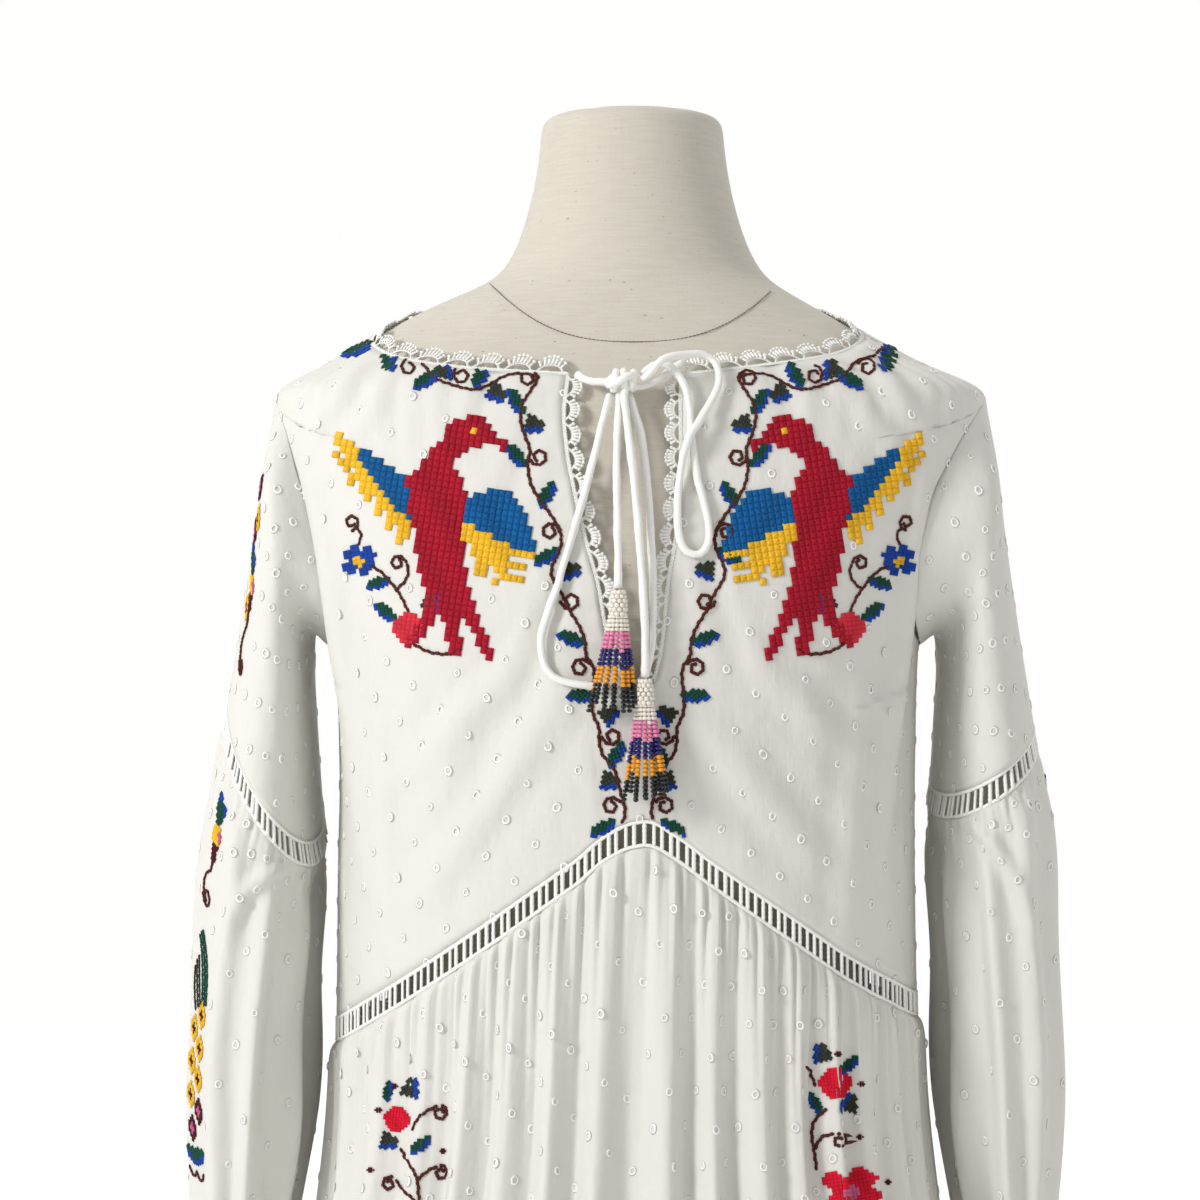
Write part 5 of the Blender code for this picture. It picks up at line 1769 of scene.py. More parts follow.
@dataclass
class CrochetTrim:
    """A scalloped crochet edging of fans round half-moon holes."""

    scatter: Scatter
    thread: Material
    bust: Bust
    loop: float = 0.0019
    stand: float = 0.30
    posts: int = 7
    full_width: float = 0.0106

    def rope(self, path: Sequence[Vector], spacing: float, width: float, tilt: float) -> list[Spot]:
        """Two rows of slanted loops along a path.

        Args:
            path: The rope's line.
            spacing: Distance between loops.
            width: Width of the rope.
            tilt: Slant of the loops in radians.

        Returns:
            Spots of its loops.
        """
        even = even_curve(list(path), spacing)
        spots = []
        for index, point in enumerate(even):
            before, after = even[max(index - 1, 0)], even[min(index + 1, len(even) - 1)]
            ahead = (after - before).normalized()
            away = self.slope(point).normalized()
            across = away.cross(ahead)
            for row in (-1, 1):
                lean = ahead * math.cos(tilt) + across * math.sin(tilt) * row
                middle = point + across * row * width * 0.24 + ahead * row * spacing * 0.25
                spots.append(Spot(middle, lean, away, (spacing * 1.9, width * 0.52, width * 0.55)))
        return spots

    def edging(self, node: str, place: Surface, count: int, width: Callable[[float], float]) -> Piece:
        """Make one edging of fans.

        Args:
            node: The solid that it stands for.
            place: Point at a share along and a distance from the cloth's edge.
            count: Number of scallops.
            width: Width of the edging at a share.

        Returns:
            The edging.
        """
        lengths = lengths_along([place(step / 200, 0.0009) for step in range(201)])

        def even(share: float, distance: float) -> Vector:
            """Point at a share of the edge's length."""
            return place(share_at(lengths, share * lengths[-1]), distance)

        base = [even(step / (count * 6), 0.0009) for step in range(count * 6 + 1)]
        spots = self.rope(base, self.loop, 0.0021, 0.5)
        span = 1 / count
        for scallop in range(count):
            start = scallop / count
            full = width(start + span / 2)
            rim = []
            for step in range(9):
                t = step / 8
                away = 0.0016 + full * 0.36 * math.sin(math.pi * t) ** 0.6
                rim.append(even(start + span * (0.10 + 0.80 * t), away))
            spots += self.rope(rim, 0.0017, 0.0013, 0.35)
            for post in range(self.posts):
                t = (post + 0.5) / self.posts
                lift = math.sin(math.pi * (0.06 + 0.88 * t)) ** 0.55
                low = even(start + span * (0.14 + 0.72 * t), 0.0014 + full * 0.38 * lift)
                high = even(start + span * (0.03 + 0.94 * t), 0.0016 + (full - 0.0026) * lift)
                run = high - low
                out = self.slope(low)
                spots.append(Spot((low + high) / 2, run, out, (run.length * 1.25, 0.0019, 0.0017)))
                tip = even(start + span * (0.02 + 0.96 * t), 0.0016 + (full - 0.0021) * lift)
                spots.append(Spot(tip, run.cross(out), out, (0.0027, 0.0020, 0.0021)))
        made = self.scatter.place(node + "_crochet", Shapes.stitch(), spots, self.thread)
        settle(made, [node])
        return made

    def neckline(self, side: Side) -> Piece:
        """Make the edging of one half of the front neckline."""

        def place(share: float, distance: float) -> Vector:
            """Point above the neckline."""
            angle, height = SHAPE.neckline(share, side)
            stand = distance * self.stand * min(4 * (1 - share), 1.0)
            point = SHAPE.point(*SHAPE.above(angle, height, distance)) + Vector((0, 0, stand))
            return self.bust.lay(point, self.bust.beside_neck(share))

        return self.edging("neck_trim_" + side.name.lower(), place, 10, lambda share: self.full_width)

    def back(self) -> Piece:
        """Make the edging of the back neckline."""

        def place(share: float, distance: float) -> Vector:
            """Point above the back neckline."""
            angle, height = SHAPE.neckline_back(share)
            return self.bust.lay(SHAPE.point(*SHAPE.above(angle, height, distance)), 1.0)

        return self.edging("neck_trim_back", place, 20, lambda share: self.full_width)

    def slit(self, side: Side) -> Piece:
        """Make the edging of one edge of the slit."""
        top, bottom = SHAPE.slit_top - 0.0006, 1.2055
        inward = -side.value

        def place(share: float, distance: float) -> Vector:
            """Point inside the slit."""
            height = top + (bottom - top) * share
            x = SHAPE.slit_edge(height, side) + inward * (0.0004 + distance)
            return SHAPE.point(SHAPE.angle_at(x, height), height)

        def width(share: float) -> float:
            """Width that the narrowing slit leaves."""
            height = top + (bottom - top) * share
            room = (SHAPE.slit_edge(height, Side.RIGHT) - SHAPE.slit_edge(height, Side.LEFT)) / 2
            return min(0.0102, room - 0.0012)

        return self.edging("slit_trim_" + side.name.lower(), place, 12, width)

    @staticmethod
    def slope(point: Vector) -> Vector:
        """Outward direction of the dress near a point."""
        turn = math.degrees(math.atan2(-point.y / 0.12, point.x / 0.18))
        return SHAPE.normal(turn % 360, min(point.z, 1.43))

    def build(self) -> list[Piece]:
        """Make every edging."""
        made = [self.neckline(side) for side in Side] + [self.slit(side) for side in Side]
        return made + [self.back()]


class Skin:
    """Lookup of rays and nearest points on shells of cloth."""

    def __init__(self, shells: Sequence[Piece]) -> None:
        """Gather the shells' faces in one tree."""
        points: list[Vector] = []
        faces: list[list[int]] = []
        for shell in shells:
            start = len(points)
            points += [vertex.co.copy() for vertex in shell.data.vertices]
            faces += [[start + index for index in face.vertices] for face in shell.data.polygons]
        self.tree = BVHTree.FromPolygons(points, faces)

    def seen(self, x: float, y: float) -> Found:
        """Find the cloth behind a pixel of the photograph.

        Args:
            x: The pixel's column.
            y: The pixel's row.

        Returns:
            The point and its direction towards the viewer, if any.
        """
        ray = VIEW.ray(x, y)
        point, normal, _, _ = self.tree.ray_cast(VIEW.eye, ray)
        if point is None:
            return None
        return point, (normal if normal.dot(ray) < 0 else -normal)

    def near(self, point: Vector, reach: float) -> Found:
        """Find the nearest cloth within a reach."""
        found, normal, _, _ = self.tree.find_nearest(point, reach)
        return None if found is None else (found, normal)


@dataclass
class ClippedDots:
    """Small clipped thread rings woven into the voile."""

    scatter: Scatter
    thread: Material
    stitched: KDTree
    size: float = 0.0063
    height: float = 0.0026
    first: Pair = (0.0277, -0.0069)
    second: Pair = (0.0162, 0.0127)
    rim: Pair = (0.003, 0.005)
    clearance: float = 0.0045

    def lattice(self, width: float, length: float, spread: float) -> list[Pair]:
        """Places of the woven rings on a cut of cloth, spread by a factor."""
        places = []
        reach = int((width + length) / 0.012 / spread)
        for i in range(-reach, reach):
            for j in range(-reach, reach):
                u = (i * self.first[0] + j * self.second[0]) * spread
                v = (i * self.first[1] + j * self.second[1]) * spread
                if self.rim[0] < u < width - self.rim[0] and self.rim[1] < v < length - self.rim[1]:
                    places.append((u, v))
        return places

    def build(
        self,
        name: str,
        cut: Pair,
        place: Finder,
        seed: int,
        spread: float,
    ) -> Piece:
        """Make the rings of one piece.

        Args:
            name: The piece's name.
            cut: Width and length of the flat cut.
            place: Point and outward direction of a place on the cut.
            seed: Seed of the rings' turns.
            spread: Factor of the distance between rings.

        Returns:
            The rings.
        """
        chance = Random(seed)
        spots = []
        for u, v in self.lattice(*cut, spread):
            found = place(u, v)
            turn = chance.uniform(-0.5, 0.5)
            if found is None:
                continue
            point, out = found
            if self.stitched.find(point)[2] < self.clearance:
                continue
            scale = self.size * chance.uniform(0.85, 1.1)
            along = Vector((math.sin(turn), 0.0, math.cos(turn)))
            spots.append(Spot(point + out * 0.0005, along, out, (scale, scale, self.height)))
        made = self.scatter.place(name, Shapes.ring(), spots, self.thread, 0.05, seed)
        settle(made, [])
        return made

    def on_yoke(self, name: str, shell: Piece, back: bool) -> Piece:
        """Make the rings of the front or back yoke."""
        start = 180 if back else 0
        run = lengths_along([SHAPE.point(start + step, 1.2) for step in range(181)])
        skin = Skin([shell])

        def place(u: float, v: float) -> Found:
            """Point of the yoke at an arc and a height."""
            angle, height = start + 180 * share_at(run, u), 0.99 + v
            point = SHAPE.point(angle, height)
            found = skin.near(point, 0.004)
            if found is None or (found[0] - point).length > 0.0035:
                return None
            out = SHAPE.normal(angle, height)
            return found[0], out

        return self.build(name, (run[-1], 0.45), place, 11, 1.08)

    @staticmethod
    def on_surface(
        point: Surface, middle: Vector
    ) -> Finder:
        """Read point and direction from a surface of two shares.

        Args:
            point: The surface, by two shares from 0 to 1.
            middle: A point inside, to tell outward.

        Returns:
            A function of the two shares.
        """

        def place(a: float, b: float) -> Found:
            """Point and outward direction at two shares."""
            here = point(a, b)
            out = (point(a + 0.0015, b) - here).cross(point(a, b + 0.002) - here)
            if out.length < 1e-12:
                return None
            out.normalize()
            away = Vector((here.x - middle.x, here.y - middle.y, 0.0))
            return here, (out if out.dot(away) > 0 else -out)

        return place

    def on_skirt(self, panel: SkirtPanel) -> Piece:
        """Make the rings of one skirt panel."""
        spans = len(panel.folds) - 1
        surface = self.on_surface(lambda a, b: panel.point(a * spans, b), Vector())
        return self.build(panel.node + "_dots", panel.flat,
                          lambda u, v: surface(u / panel.flat[0], 1 - v / panel.flat[1]), 13, 1.28)

    def on_sleeve(self, sleeve: Sleeve) -> list[Piece]:
        """Make the rings of both parts of one sleeve."""
        made = []
        middle = Vector((0.23 * sleeve.side.value, 0.0, 0.0))
        for word, point, cut, spread in (("sleeve_", sleeve.upper_point, sleeve.cut_upper, 1.15),
                                         ("lower_sleeve_", sleeve.lower_point, sleeve.cut_lower, 1.50)):
            surface = self.on_surface(lambda a, b, point=point: point(2 * math.pi * a, b), middle)
            made.append(self.build(word + sleeve.word + "_dots", cut,
                                   lambda u, v, cut=cut, surface=surface: surface(u / cut[0], 1 - v / cut[1]),
                                   17, spread))
        return made


THREADS: dict[str, tuple[float, float, float]] = {
    "R": (0.420, 0.004, 0.022),
    "B": (0.002, 0.110, 0.330),
    "Y": (0.900, 0.520, 0.025),
    "G": (0.004, 0.068, 0.042),
    "b": (0.006, 0.055, 0.360),
    "O": (0.038, 0.044, 0.030),
    "C": (0.720, 0.030, 0.055),
    "S": (0.760, 0.004, 0.032),
    "M": (0.080, 0.003, 0.010),
    "P": (0.620, 0.130, 0.270),
    "V": (0.092, 0.016, 0.011),
}

BIRD = (
    "....................RRR...........",
    "..................RRRRRR..........",
    ".................RRRRYRRR.........",
    ".................RRRRRRRRRR.......",
    ".................RRRRRR...R.......",
    "................RRRRR.............",
    "Y..............RRRRR..............",
    "YYY............RRRR...............",
    ".YYYBB........RRRRR...............",
    "Y.YYBBBB......RRRRRR..............",
    ".YYYYBBBBB...RRRRRRRR.............",
    "..Y.YYBBBBBBRRRRRRRRR....BBBB.....",
    "...YYYYBBBBBRRRRRRRRRR.BBBBBBB....",
    "...Y.YYYBBBBBRRRRRRRRRBBBBBBBBB...",
    ".....YYYYBBBBRRRRRRRRRBBBBBBBBBB..",
    "......Y.YYBBBRRRRRRRRRBBBBBBBBBB..",
    "........YYYBBRRRRRRRRRBBBBBBBBBBB.",
    "........Y.YYYBRRRRRRRRYYBBBBBBBBB.",
    "..........YYYYRRRRRRRRYYYYYBBBBBBB",
    "..........Y.YY.RRRRRRRYYYYYYYYBBBB",
    "............YY.RRRRRRRR.YYYYYYYYYY",
    "............Y..RRRRRRRR.YYYYYY....",
    "...............RRRRRRRR..YYYYYYYY.",
    "................RRRRRRR..YY.YY....",
    "................RRRRRRRR.YY..YYYY.",
    "................RRRRRRRR....Y.....",
    ".................RRRRRRR..........",
    ".................RRRRRRRR.........",
    "..................RRRRRRR.........",
    "..................RRRRRRRR........",
    "..................RRRRRRRR........",
    "..................RRRRRRRRR.......",
    "..................RR.RRR.RR.......",
    "..................RR..RR..RR......",
    ".................RR...RR...RR.....",
    ".................RR...RRR..RR.....",
    "................RR.....RR...RR....",
    "................R......RR....R....",
)
GREEN_LEAF = (
    "....GG", "..GGGb", ".GGGbb", "GGGGb.", "GGbb..", "bb....",
)
DARK_LEAF = (
    "...OO.", ".OOOOb", "OOOObb", ".OOOb.", "..Obb.", "...b..",
)
ROUND_FLOWER = (
    "..CCC..", ".CCCCC.", "CCCCCCC", "CCCCCCC", "CCCCCCC", ".CCCCC.", "..CCC..",
)
BLUE_FLOWER = (
    "...bb....", ".bbbb.bb.", ".bbbbbbb.", "..bYYbbbb", "bbbYYYbb.", "bbbbYbbb.", ".bb.bbb..", "....bb...",
)
SKIRT_ROSE = (
    "...SSSS...", "..SSSSSS..", ".SSSSSSSS.", "SSSSSSSSSS", "SSSSSSSSSS", ".SSSSSSSSS", ".SSSSSSSS.",
    "..SSSSSS..", "...SSSS...",
)
BIG_ROSE = (
    ".SSS....SSS...", "SSSSS..SSSSS..", "SSSSSSSSSSSSS.", ".SSSSSSSSSSSSS", "..SSSSPPSSSSS.",
    "..SSSPPPPSSS..", ".SSSSPPPPSSSS.", "SSSSSSPPSSSSSS", "SSSSSSSSSSSSSS", ".SSSSSSSSSSSS.",
    "..SSS.SSS.SS..",
)
SMALL_DIAMOND = (
    "..Y..", ".YYY.", "YYMYY", "YMMMY", "YYMYY", ".YYY.", "..Y..",
)
PINK_DIAMOND = tuple(row.translate(str.maketrans("YM", "MP")) for row in SMALL_DIAMOND)
TULIP = (
    "bbb...", "bbGGbb", "GGGGGb", "GGGGG.", ".GGGG.", "..GG..", "..YYY.", ".YYYPP", ".YYYYP", ".YYYY.",
    "..MMM.", "..MM..", "..MM..", "..MM..",
)
BUD = (".MM.", "MMMM", ".MM.")
LEFT_VINE = (
    (346, 330), (364, 325), (360, 336), (387, 345), (402, 356), (420, 362), (433, 377), (445, 383),
    (473, 390), (489, 385), (504, 377), (519, 374), (537, 378), (530, 392), (521, 408), (522, 428),
    (530, 450), (528, 464), (532, 487), (545, 507), (558, 527), (561, 545), (551, 573), (563, 596),
    (570, 611), (580, 628), (585, 642), (586, 656), (594, 671), (592, 709), (599, 728), (599, 741),
    (603, 756), (613, 766), (621, 793), (625, 813), (619, 828), (609, 836),
)
# x, y and starting turn of each curl beside the vine
VINE_CURLS = (
    (377, 337, 200), (409, 368, 20), (462, 376, 90), (528, 379, 0), (539, 457, 180), (550, 532, 0),
    (571, 601, 180), (580, 668, 20), (612, 736, 180), (611, 806, 20),
)
# x, y, turn and kind of each leaf beside the vine
VINE_LEAVES = (
    (352, 333, 10, "G"), (373, 327, -10, "O"), (357, 350, 20, "G"), (389, 358, -60, "G"),
    (426, 381, 10, "G"), (444, 372, -30, "O"), (481, 376, -20, "G"), (495, 393, 80, "O"),
    (516, 402, 100, "G"), (532, 425, 60, "O"), (516, 456, 90, "G"), (547, 495, -20, "G"),
    (547, 557, 10, "G"), (569, 571, 40, "O"), (571, 639, 60, "G"), (581, 696, 40, "G"),
    (608, 716, 10, "O"), (616, 755, -20, "G"), (608, 781, 60, "O"), (603, 828, 10, "G"),
)


@dataclass(frozen=True)
class Motif:
    """A charted motif by its centre, pitch and turn in pixels and degrees."""

    chart: tuple[str, ...]
    centre: Pair
    pitch: float
    turn: float = 0.0
    flip: bool = False


@dataclass(frozen=True)
class Line:
    """A stitched brown line through pixels."""

    points: tuple[Pair, ...]
    width: float = 0.0021
    spacing: float = 4.6
    colour: str = "V"


def curl(x: float, y: float, start: float, radius: float = 8.4, ways: int = 1) -> Line:
    """A small spiral curl.

    Args:
        x: Column of its middle.
        y: Row of its middle.
        start: Turn of its outer end in degrees.
        radius: Its outer radius in pixels.
        ways: 1 or -1 for its winding.

    Returns:
        The line.
    """
    points = []
    for step in range(18):
        share = step / 17
        turn = math.radians(start) + ways * share * 2 * math.pi * 1.22
        reach = radius * (1.25 - 0.72 * share**0.6)
        points.append((x + reach * math.cos(turn), y - reach * math.sin(turn)))
    return Line(tuple(points), spacing=3.4)


# Motifs and lines of the sleeves' outer panels, in pixels from the top middle.
UPPER_PANEL: tuple[tuple[Motif, ...], tuple[Line, ...]] = (
    (
        Motif(PINK_DIAMOND, (-6, 70), 3.9),
        Motif(SMALL_DIAMOND, (9, 92), 3.9),
        Motif(PINK_DIAMOND, (-6, 114), 3.9),
        Motif(TULIP, (4, 158), 4.2, -8),
        Motif(SMALL_DIAMOND, (-8, 196), 3.9),
    ),
    (
        Line(((4, 184), (4, 204), (-4, 218), (-12, 236), (-8, 250))),
        curl(-1, 252, 180, 8.0),
    ),
)
LOWER_PANEL: tuple[tuple[Motif, ...], tuple[Line, ...]] = (
    (
        Motif(TULIP, (6, 62), 4.5, -4),
        Motif(SMALL_DIAMOND, (11, 252), 4.0),
        Motif(SMALL_DIAMOND, (-9, 272), 4.0),
        Motif(SMALL_DIAMOND, (11, 286), 4.0),
        Motif(SMALL_DIAMOND, (-11, 306), 4.0),
        Motif(SMALL_DIAMOND, (9, 318), 4.0),
        Motif(SMALL_DIAMOND, (-12, 340), 4.0),
        Motif(PINK_DIAMOND, (10, 351), 4.0),
        Motif(PINK_DIAMOND, (-9, 374), 4.0),
        Motif(GREEN_LEAF, (4, 400), 4.6, 20),
        Motif(GREEN_LEAF, (-10, 402), 4.2, -30, True),
    ),
    (
        Line(((6, 90), (5, 104), (-7, 114), (-12, 126), (-9, 138))),
        curl(-2, 136, 180, 9.0),
        Line(((-7, 172), (6, 188), (16, 212), (21, 238)), 0.0017, 4.6, "G"),
        Line(((-11, 175), (1, 192), (10, 214), (15, 240)), 0.0017, 4.6, "G"),
        Line(((-15, 180), (-4, 198), (4, 218), (9, 242)), 0.0017, 4.6, "G"),
        Line(((-13, 200), (-8, 216), (-2, 232), (4, 246)), 0.0017, 4.6, "O"),
        Line(((-18, 206), (-14, 222), (-8, 238), (-2, 249)), 0.0017, 4.6, "O"),
        Line(((-22, 214), (-20, 230), (-15, 244), (-9, 254)), 0.0017, 4.6, "O"),
        Line(((-20, 416), (-14, 423), (-6, 424), (-1, 417), (6, 424), (14, 423), (19, 415))),
    ),
)


@dataclass
class Embroidery:
    """Cross-stitched birds, leaves and flowers with stitched vines."""

    scatter: Scatter
    thread: Material
    pixel: float = 0.000585
    lift: float = 0.0008
    most_stretch: float = 2.6
    longest_stitch: float = 0.016
    reach: float = 0.15
    placed: list[Vector] = field(default_factory=list)

    def covered(self) -> KDTree:
        """Every stitched place, for looking up."""
        tree = KDTree(len(self.placed))
        for index, point in enumerate(self.placed):
            tree.insert(point, index)
        tree.balance()
        return tree

    def cross_spots(self, motif: Motif, find: Finder) -> list[Spot]:
        """Spots of a charted motif.

        Args:
            motif: The motif.
            find: Point and outward direction at a pixel.

        Returns:
            One spot for each stitch that lands on the cloth.
        """
        turn = math.radians(motif.turn)
        right = Vector((math.cos(turn), math.sin(turn)))
        down = Vector((-math.sin(turn), math.cos(turn)))
        rows, columns = len(motif.chart), max(len(row) for row in motif.chart)
        spots = []
        for row, line in enumerate(motif.chart):
            for column, letter in enumerate(line):
                if letter not in THREADS:
                    continue
                across = (column - (columns - 1) / 2) * (-1 if motif.flip else 1)
                place = right * across + down * (row - (rows - 1) / 2)
                at = Vector(motif.centre) + place * motif.pitch
                found = find(at.x, at.y)
                ahead = find(at.x + right.x, at.y + right.y)
                below = find(at.x + down.x, at.y + down.y)
                if found is None or ahead is None or below is None:
                    continue
                point, out = found
                size = motif.pitch * self.pixel
                long, wide = (
                    min(max((other[0] - point).length * motif.pitch * 1.05, size), size * self.most_stretch)
                    for other in (ahead, below)
                )
                shade = 0.90 + 0.20 * math.sin(12.9898 * column + 78.233 * row) ** 2
                colour = tuple(value * shade for value in THREADS[letter])
                spots.append(Spot(point + out * self.lift, ahead[0] - point, out,
                                  (long, wide, size * 0.95), colour))
        return spots

    def line_spots(self, line: Line, find: Finder) -> list[Spot]:
        """Spots of a stitched line."""
        flat = [Vector((x, y, 0.0)) for x, y in line.points]
        even = even_curve(flat, line.spacing)
        spots = []
        for index, mark in enumerate(even[:-1]):
            found = find(mark.x, mark.y)
            ahead = find(even[index + 1].x, even[index + 1].y)
            if found is None or ahead is None:
                continue
            run = ahead[0] - found[0]
            if run.length > self.longest_stitch:
                continue
            out = found[1]
            side = out.cross(run).normalized() * (0.0002 if index % 2 else -0.0002)
            spots.append(Spot((found[0] + ahead[0]) / 2 + out * self.lift + side, run, out,
                              (run.length * 1.38, line.width, line.width * 0.8), THREADS[line.colour]))
        return spots

    def build(
        self,
        name: str,
        motifs: Sequence[Motif],
        lines: Sequence[Line],
        find: Finder,
    ) -> list[Piece]:
        """Stitch motifs and lines on one part of the dress.

        Args:
            name: The pieces' name.
            motifs: The charted motifs.
            lines: The stitched lines.
            find: Point and outward direction at a pixel.

        Returns:
            The crosses and the lines.
        """
        crosses = [spot for motif in motifs for spot in self.cross_spots(motif, find)]
        straight = [spot for line in lines for spot in self.line_spots(line, find)]
        self.placed += [spot.point for spot in crosses + straight]
        made = []
        kinds = (("_crosses", Shapes.cross(), crosses), ("_lines", Shapes.stitch(), straight))
        for word, shape, spots in kinds:
            if spots:
                piece = self.scatter.place(name + word, shape, spots, self.thread, 0.05, 23)
                settle(piece, [])
                made.append(piece)
        return made

    def yoke(self, shell: Piece) -> list[Piece]:
        """Stitch birds, sprays and vines on the front yoke."""
        find = Skin([shell]).seen
        made = []
        for flip, about in ((False, 0.0), (True, 1276.0)):
            mirror = (lambda x, about=about: about - x) if flip else (lambda x: x)
            sign = -1 if flip else 1
            motifs = []
            for x, y, turn, kind in VINE_LEAVES:
                chart = GREEN_LEAF if kind == "G" else DARK_LEAF
                motifs.append(Motif(chart, (mirror(x), y), 3.7, sign * turn, flip))
            lines = [Line(tuple((mirror(x), y) for x, y in LEFT_VINE))]
            for x, y, start in VINE_CURLS:
                lines.append(curl(mirror(x), y, 180 - start if flip else start, ways=sign))
            shift = -18 if flip else 0
            motifs += [
                Motif(ROUND_FLOWER, (mirror(409) + shift, 628), 4.4, sign * 8, flip),
                Motif(GREEN_LEAF, (mirror(386) + shift, 612), 3.4, sign * 80, flip),
                Motif(DARK_LEAF, (mirror(432) + shift, 604), 3.6, sign * -20, flip),
                Motif(BLUE_FLOWER, (mirror(360) + shift, 560), 4.0, sign * -12, flip),
                Motif(GREEN_LEAF, (mirror(379) + shift, 583), 3.2, sign * 20, flip),
            ]
            stem = ((409, 612), (400, 594), (384, 574), (372, 566))
            branch = ((396, 590), (405, 582), (409, 572), (407, 564))
            tail = ((414, 644), (430, 652), (450, 654), (462, 648))
            lines += [Line(tuple((mirror(x) + shift, y) for x, y in path)) for path in (stem, branch, tail)]
            lines.append(curl(mirror(398) + shift, 563, 0 if not flip else 180, 7.0, sign))
            lines.append(curl(mirror(352) + shift, 522, 270, 7.0, sign))
            lines.append(Line(tuple((mirror(x) + shift, y) for x, y in ((359, 545), (362, 534), (356, 527)))))
            word = "left" if not flip else "right"
            made += self.build("yoke_vine_" + word, motifs, lines, find)
            bird = Motif(BIRD, (mirror(430) + shift, 530), 6.3, sign * 9, flip)
            made += self.build("yoke_bird_" + word, [bird], [], find)
        return made

    def skirt(self, shell: Piece) -> list[Piece]:
        """Stitch the two sprays on the front of the skirt."""
        find = Skin([shell]).seen
        motifs = [
            Motif(SKIRT_ROSE, (397, 1119), 2.8, 6),
            Motif(GREEN_LEAF, (388, 1091), 2.7, -40),
            Motif(DARK_LEAF, (411, 1090), 3.6, -30),
            Motif(DARK_LEAF, (387, 1141), 3.4, 60),
            Motif(GREEN_LEAF, (421, 1145), 3.2, 0),
            Motif(SKIRT_ROSE, (835, 1083), 3.4, -6),
            Motif(DARK_LEAF, (822, 1055), 3.6, 30, True),
            Motif(GREEN_LEAF, (849, 1065), 3.2, 0, False),
            Motif(DARK_LEAF, (849, 1105), 3.6, 60, True),
            Motif(GREEN_LEAF, (815, 1103), 3.0, 20, True),
            Motif(BIG_ROSE, (852, 1190), 3.9, -10),
        ]
        buds = (
            (395, 1086), (379, 1110), (443, 1151), (371, 1170),
            (838, 1054), (861, 1084), (860, 1137), (888, 1182),
        )
        motifs += [Motif(BUD, place, 1.8) for place in buds]
        lines = [
            Line(((401, 1148), (410, 1164), (417, 1178), (419, 1200), (424, 1222))),
            Line(((413, 1130), (418, 1119), (428, 1110), (438, 1106))),
            curl(440, 1113, 80, 7.0, -1),
            Line(((417, 1180), (426, 1172), (437, 1166))),
            curl(441, 1173, 100, 7.0, -1),
            Line(((419, 1205), (406, 1192), (396, 1180))),
            curl(389, 1184, 60, 6.5),
            Line(((827, 1109), (815, 1120), (812, 1135), (815, 1155), (817, 1170))),
            Line(((815, 1149), (822, 1137), (834, 1134))),
            curl(839, 1141, 100, 6.5, -1),
            Line(((806, 1066), (811, 1074), (816, 1086))),
        ]
        return self.build("skirt_spray", motifs, lines, find)

    def sleeve(self, sleeve: Sleeve) -> list[Piece]:
        """Stitch the panel down the outer side of one sleeve.

        Args:
            sleeve: The sleeve.

        Returns:
            The panel's stitches.
        """
        made = []
        centre = PANEL_TURN[sleeve.side]
        middle = Vector((0.23 * sleeve.side.value, 0.0, 0.0))
        panels = (("upper", sleeve.upper_point, UPPER_PANEL), ("lower", sleeve.lower_point, LOWER_PANEL))
        for word, point, (motifs, lines) in panels:
            surface = ClippedDots.on_surface(lambda a, b, point=point: point(2 * math.pi * a, b), middle)
            run = lengths_along([point(centre, step / 60) for step in range(61)])

            def find(x: float, y: float, surface=surface, point=point, run=tuple(run)) -> Found:
                """Point of the panel, x and y in pixels from its top middle."""
                down = y * self.pixel
                if not 0.004 < down < run[-1] - 0.004:
                    return None
                share = share_at(run, down)
                chord = point(centre + self.reach, share) - point(centre - self.reach, share)
                arm = chord.length / (2 * self.reach)
                return surface((centre + x * self.pixel / arm) / (2 * math.pi), share)

            made += self.build("sleeve_%s_%s_panel" % (sleeve.word, word), motifs, lines, find)
        return made


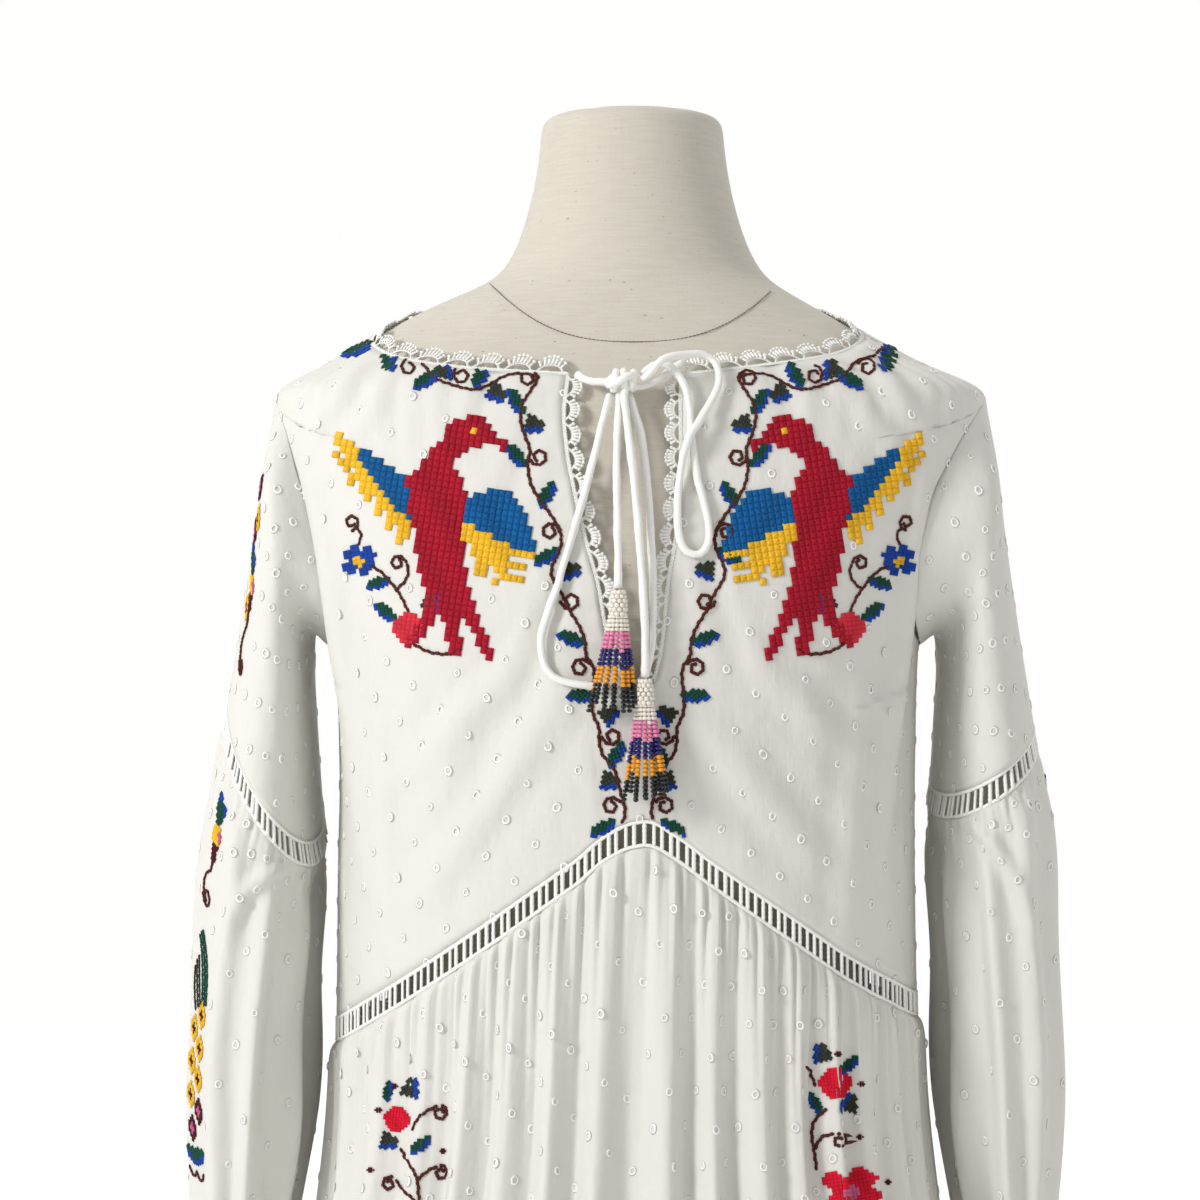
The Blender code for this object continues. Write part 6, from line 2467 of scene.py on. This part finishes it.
class Form:
    """The linen dress form and its stand, carried over from the solids."""

    # the neck seam's lowest point and its reach to each side and up, in pixels
    seam_middle = (634, 342)
    seam_reach = (144, 58)
    seam_stitch = (0.0030, 0.0007, 0.0007)
    seam_colour = (0.10, 0.08, 0.06)

    def build(self, linen: Material, steel: Material, scatter: Scatter, seam_thread: Material) -> None:
        """Refine the form and give the stand its finish.

        Args:
            linen: The cover's material.
            steel: The stand's material.
            scatter: Sets the neck seam's stitches.
            seam_thread: The neck seam's thread.
        """
        source = frame_node("form_body")
        made = linked("form_linen", source.data.copy())
        made.data.materials.clear()
        made.data.materials.append(linen)
        shape = bmesh.new()
        shape.from_mesh(made.data)
        bmesh.ops.remove_doubles(shape, verts=shape.verts, dist=0.00005)
        bmesh.ops.join_triangles(shape, faces=shape.faces, angle_face_threshold=0.6,
                                 angle_shape_threshold=0.6)
        shape.to_mesh(made.data)
        shape.free()
        made.data.shade_smooth()
        rounder = made.modifiers.new("Round", "SUBSURF")
        rounder.levels = 2
        rounder.render_levels = 2
        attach(made, BODY)
        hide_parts("form_body")
        skin = Skin([made])
        marks = []
        for share in range(-20, 21):
            along = share / 20
            x = self.seam_middle[0] + along * self.seam_reach[0]
            y = self.seam_middle[1] - self.seam_reach[1] * abs(along) ** 2.6
            found = skin.seen(x, y)
            if found:
                marks.append(found[0] + found[1] * 0.0004)
        spots = []
        even = even_curve(marks, 0.0024)
        for before, after in zip(even[:-1], even[1:]):
            out = Vector((before.x, before.y, 0.02))
            spots.append(Spot((before + after) / 2, after - before, out, self.seam_stitch, self.seam_colour))
        seam = scatter.place("form_neck_seam", Shapes.stitch(), spots, seam_thread, 0.04)
        settle(seam, [])
        for node in ("stand_base", "stand_pole", "stand_flange"):
            part = frame_node(node)
            part.data.materials.clear()
            part.data.materials.append(steel)
        log.info("form and stand finished")


def frame_node(name: str) -> Piece:
    """The object of a CAD node."""
    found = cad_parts[name]
    return bpy.data.objects[found] if isinstance(found, str) else found


@dataclass(frozen=True)
class Studio:
    """Plain pale floor, backdrop light and soft lamps."""

    ambient: float = 0.55
    backdrop: float = 1.0

    def lamp(self, name: str, place: Vector, aim: Vector, size: float, watts: float) -> None:
        """Make a square soft lamp that points at a place."""
        data = bpy.data.lights.new(name, "AREA")
        data.shape = "SQUARE"
        data.size = size
        data.energy = watts
        made = linked(name, data)
        made.location = place
        made.rotation_euler = (aim - place).to_track_quat("-Z", "Y").to_euler()

    def build(self) -> None:
        """Make the floor, the world and the lamps."""
        world = bpy.data.worlds.new("studio")
        world.use_nodes = True
        tree = world.node_tree
        background = tree.nodes["Background"]
        background.inputs["Color"].default_value = (1.0, 0.995, 0.985, 1.0)
        place = tree.nodes.new("ShaderNodeTexCoord")
        split = tree.nodes.new("ShaderNodeSeparateXYZ")
        level = tree.nodes.new("ShaderNodeMapRange")
        level.interpolation_type = "SMOOTHSTEP"
        for index, value in ((1, -0.1), (2, 0.75), (3, self.ambient), (4, self.backdrop)):
            level.inputs[index].default_value = value
        tree.links.new(place.outputs["Generated"], split.inputs[0])
        tree.links.new(split.outputs["Y"], level.inputs[0])
        tree.links.new(level.outputs[0], background.inputs["Strength"])
        bpy.context.scene.world = world
        paint = Paint("pale_floor")
        paint.set(Base_Color=paint.mix(paint.noise(paint.place((3.0, 3.0, 3.0)), 1.0),
                                       grey(0.90), grey(0.94)), Roughness=0.7)
        seen = Socket(paint, paint.tree.nodes.new("ShaderNodeLightPath").outputs["Is Camera Ray"])
        paint.set(Emission_Color=grey(1.0), Emission_Strength=seen * 0.24 + 0.16)
        shape = bmesh.new()
        bmesh.ops.create_grid(shape, x_segments=1, y_segments=1, size=6.0)
        surface_object("studio_floor", shape, paint.material)
        chest = Vector((0.0, -0.1, 1.2))
        self.lamp("key", Vector((-2.0, -1.5, 2.3)), chest, 0.6, 52.0)
        self.lamp("fill", Vector((1.9, -1.9, 1.7)), chest, 1.5, 5.0)
        self.lamp("top", Vector((0.2, 0.2, 3.0)), chest, 1.4, 4.0)
        self.lamp("back", Vector((0.6, 2.2, 1.9)), chest, 1.6, 5.0)
        bpy.context.scene.view_settings.view_transform = "Standard"


def main() -> None:
    """Build and dress every piece in order."""
    logging.basicConfig(level=logging.INFO, format="%(message)s")
    VIEW.build()
    scatter = Scatter()
    Tie(scatter, ThreadFinish("tie_voile").build(), BeadFinish().build()).build()
    voile = VoileFinish().build()
    bust = Bust()
    yokes = Yoke(bust).build(voile)
    panels = [
        SkirtPanel("skirt_front", FOLDS_FRONT, (0.98, 0.70)),
        SkirtPanel("skirt_back", FOLDS_BACK, (0.90, 0.60)),
    ]
    skirts = [panel.build(voile) for panel in panels]
    arms = [Sleeve(side) for side in Side]
    sleeves = [piece for arm in arms for piece in arm.build(voile)]
    thread = ThreadFinish().build()
    ladder = LadderBand(scatter, thread)
    for back in (False, True):
        ladder.around_body(back)
    for side in Side:
        ladder.around_sleeve(side)
    CrochetTrim(scatter, thread, bust).build()
    stitches = Embroidery(scatter, StitchFinish().build())
    stitches.yoke(yokes[0])
    stitches.skirt(skirts[0])
    for arm in arms:
        stitches.sleeve(arm)
    clipped = ThreadFinish("clipped_thread", (0.90, 0.893, 0.862, 1.0)).build()
    dots = ClippedDots(scatter, clipped, stitches.covered())
    for shell, back in zip(yokes, (False, True)):
        dots.on_yoke("yoke_back_dots" if back else "yoke_front_dots", shell, back)
    for panel in panels:
        dots.on_skirt(panel)
    for arm in arms:
        dots.on_sleeve(arm)
    seam_thread = ThreadFinish("seam_thread", (0.17, 0.14, 0.11, 1.0)).build()
    Form().build(LinenFinish().build(), SteelFinish().build(), scatter, seam_thread)
    Studio().build()
    log.info("%d cloth pieces", len(yokes) + len(skirts) + len(sleeves))


if __name__ == "__main__":
    main()
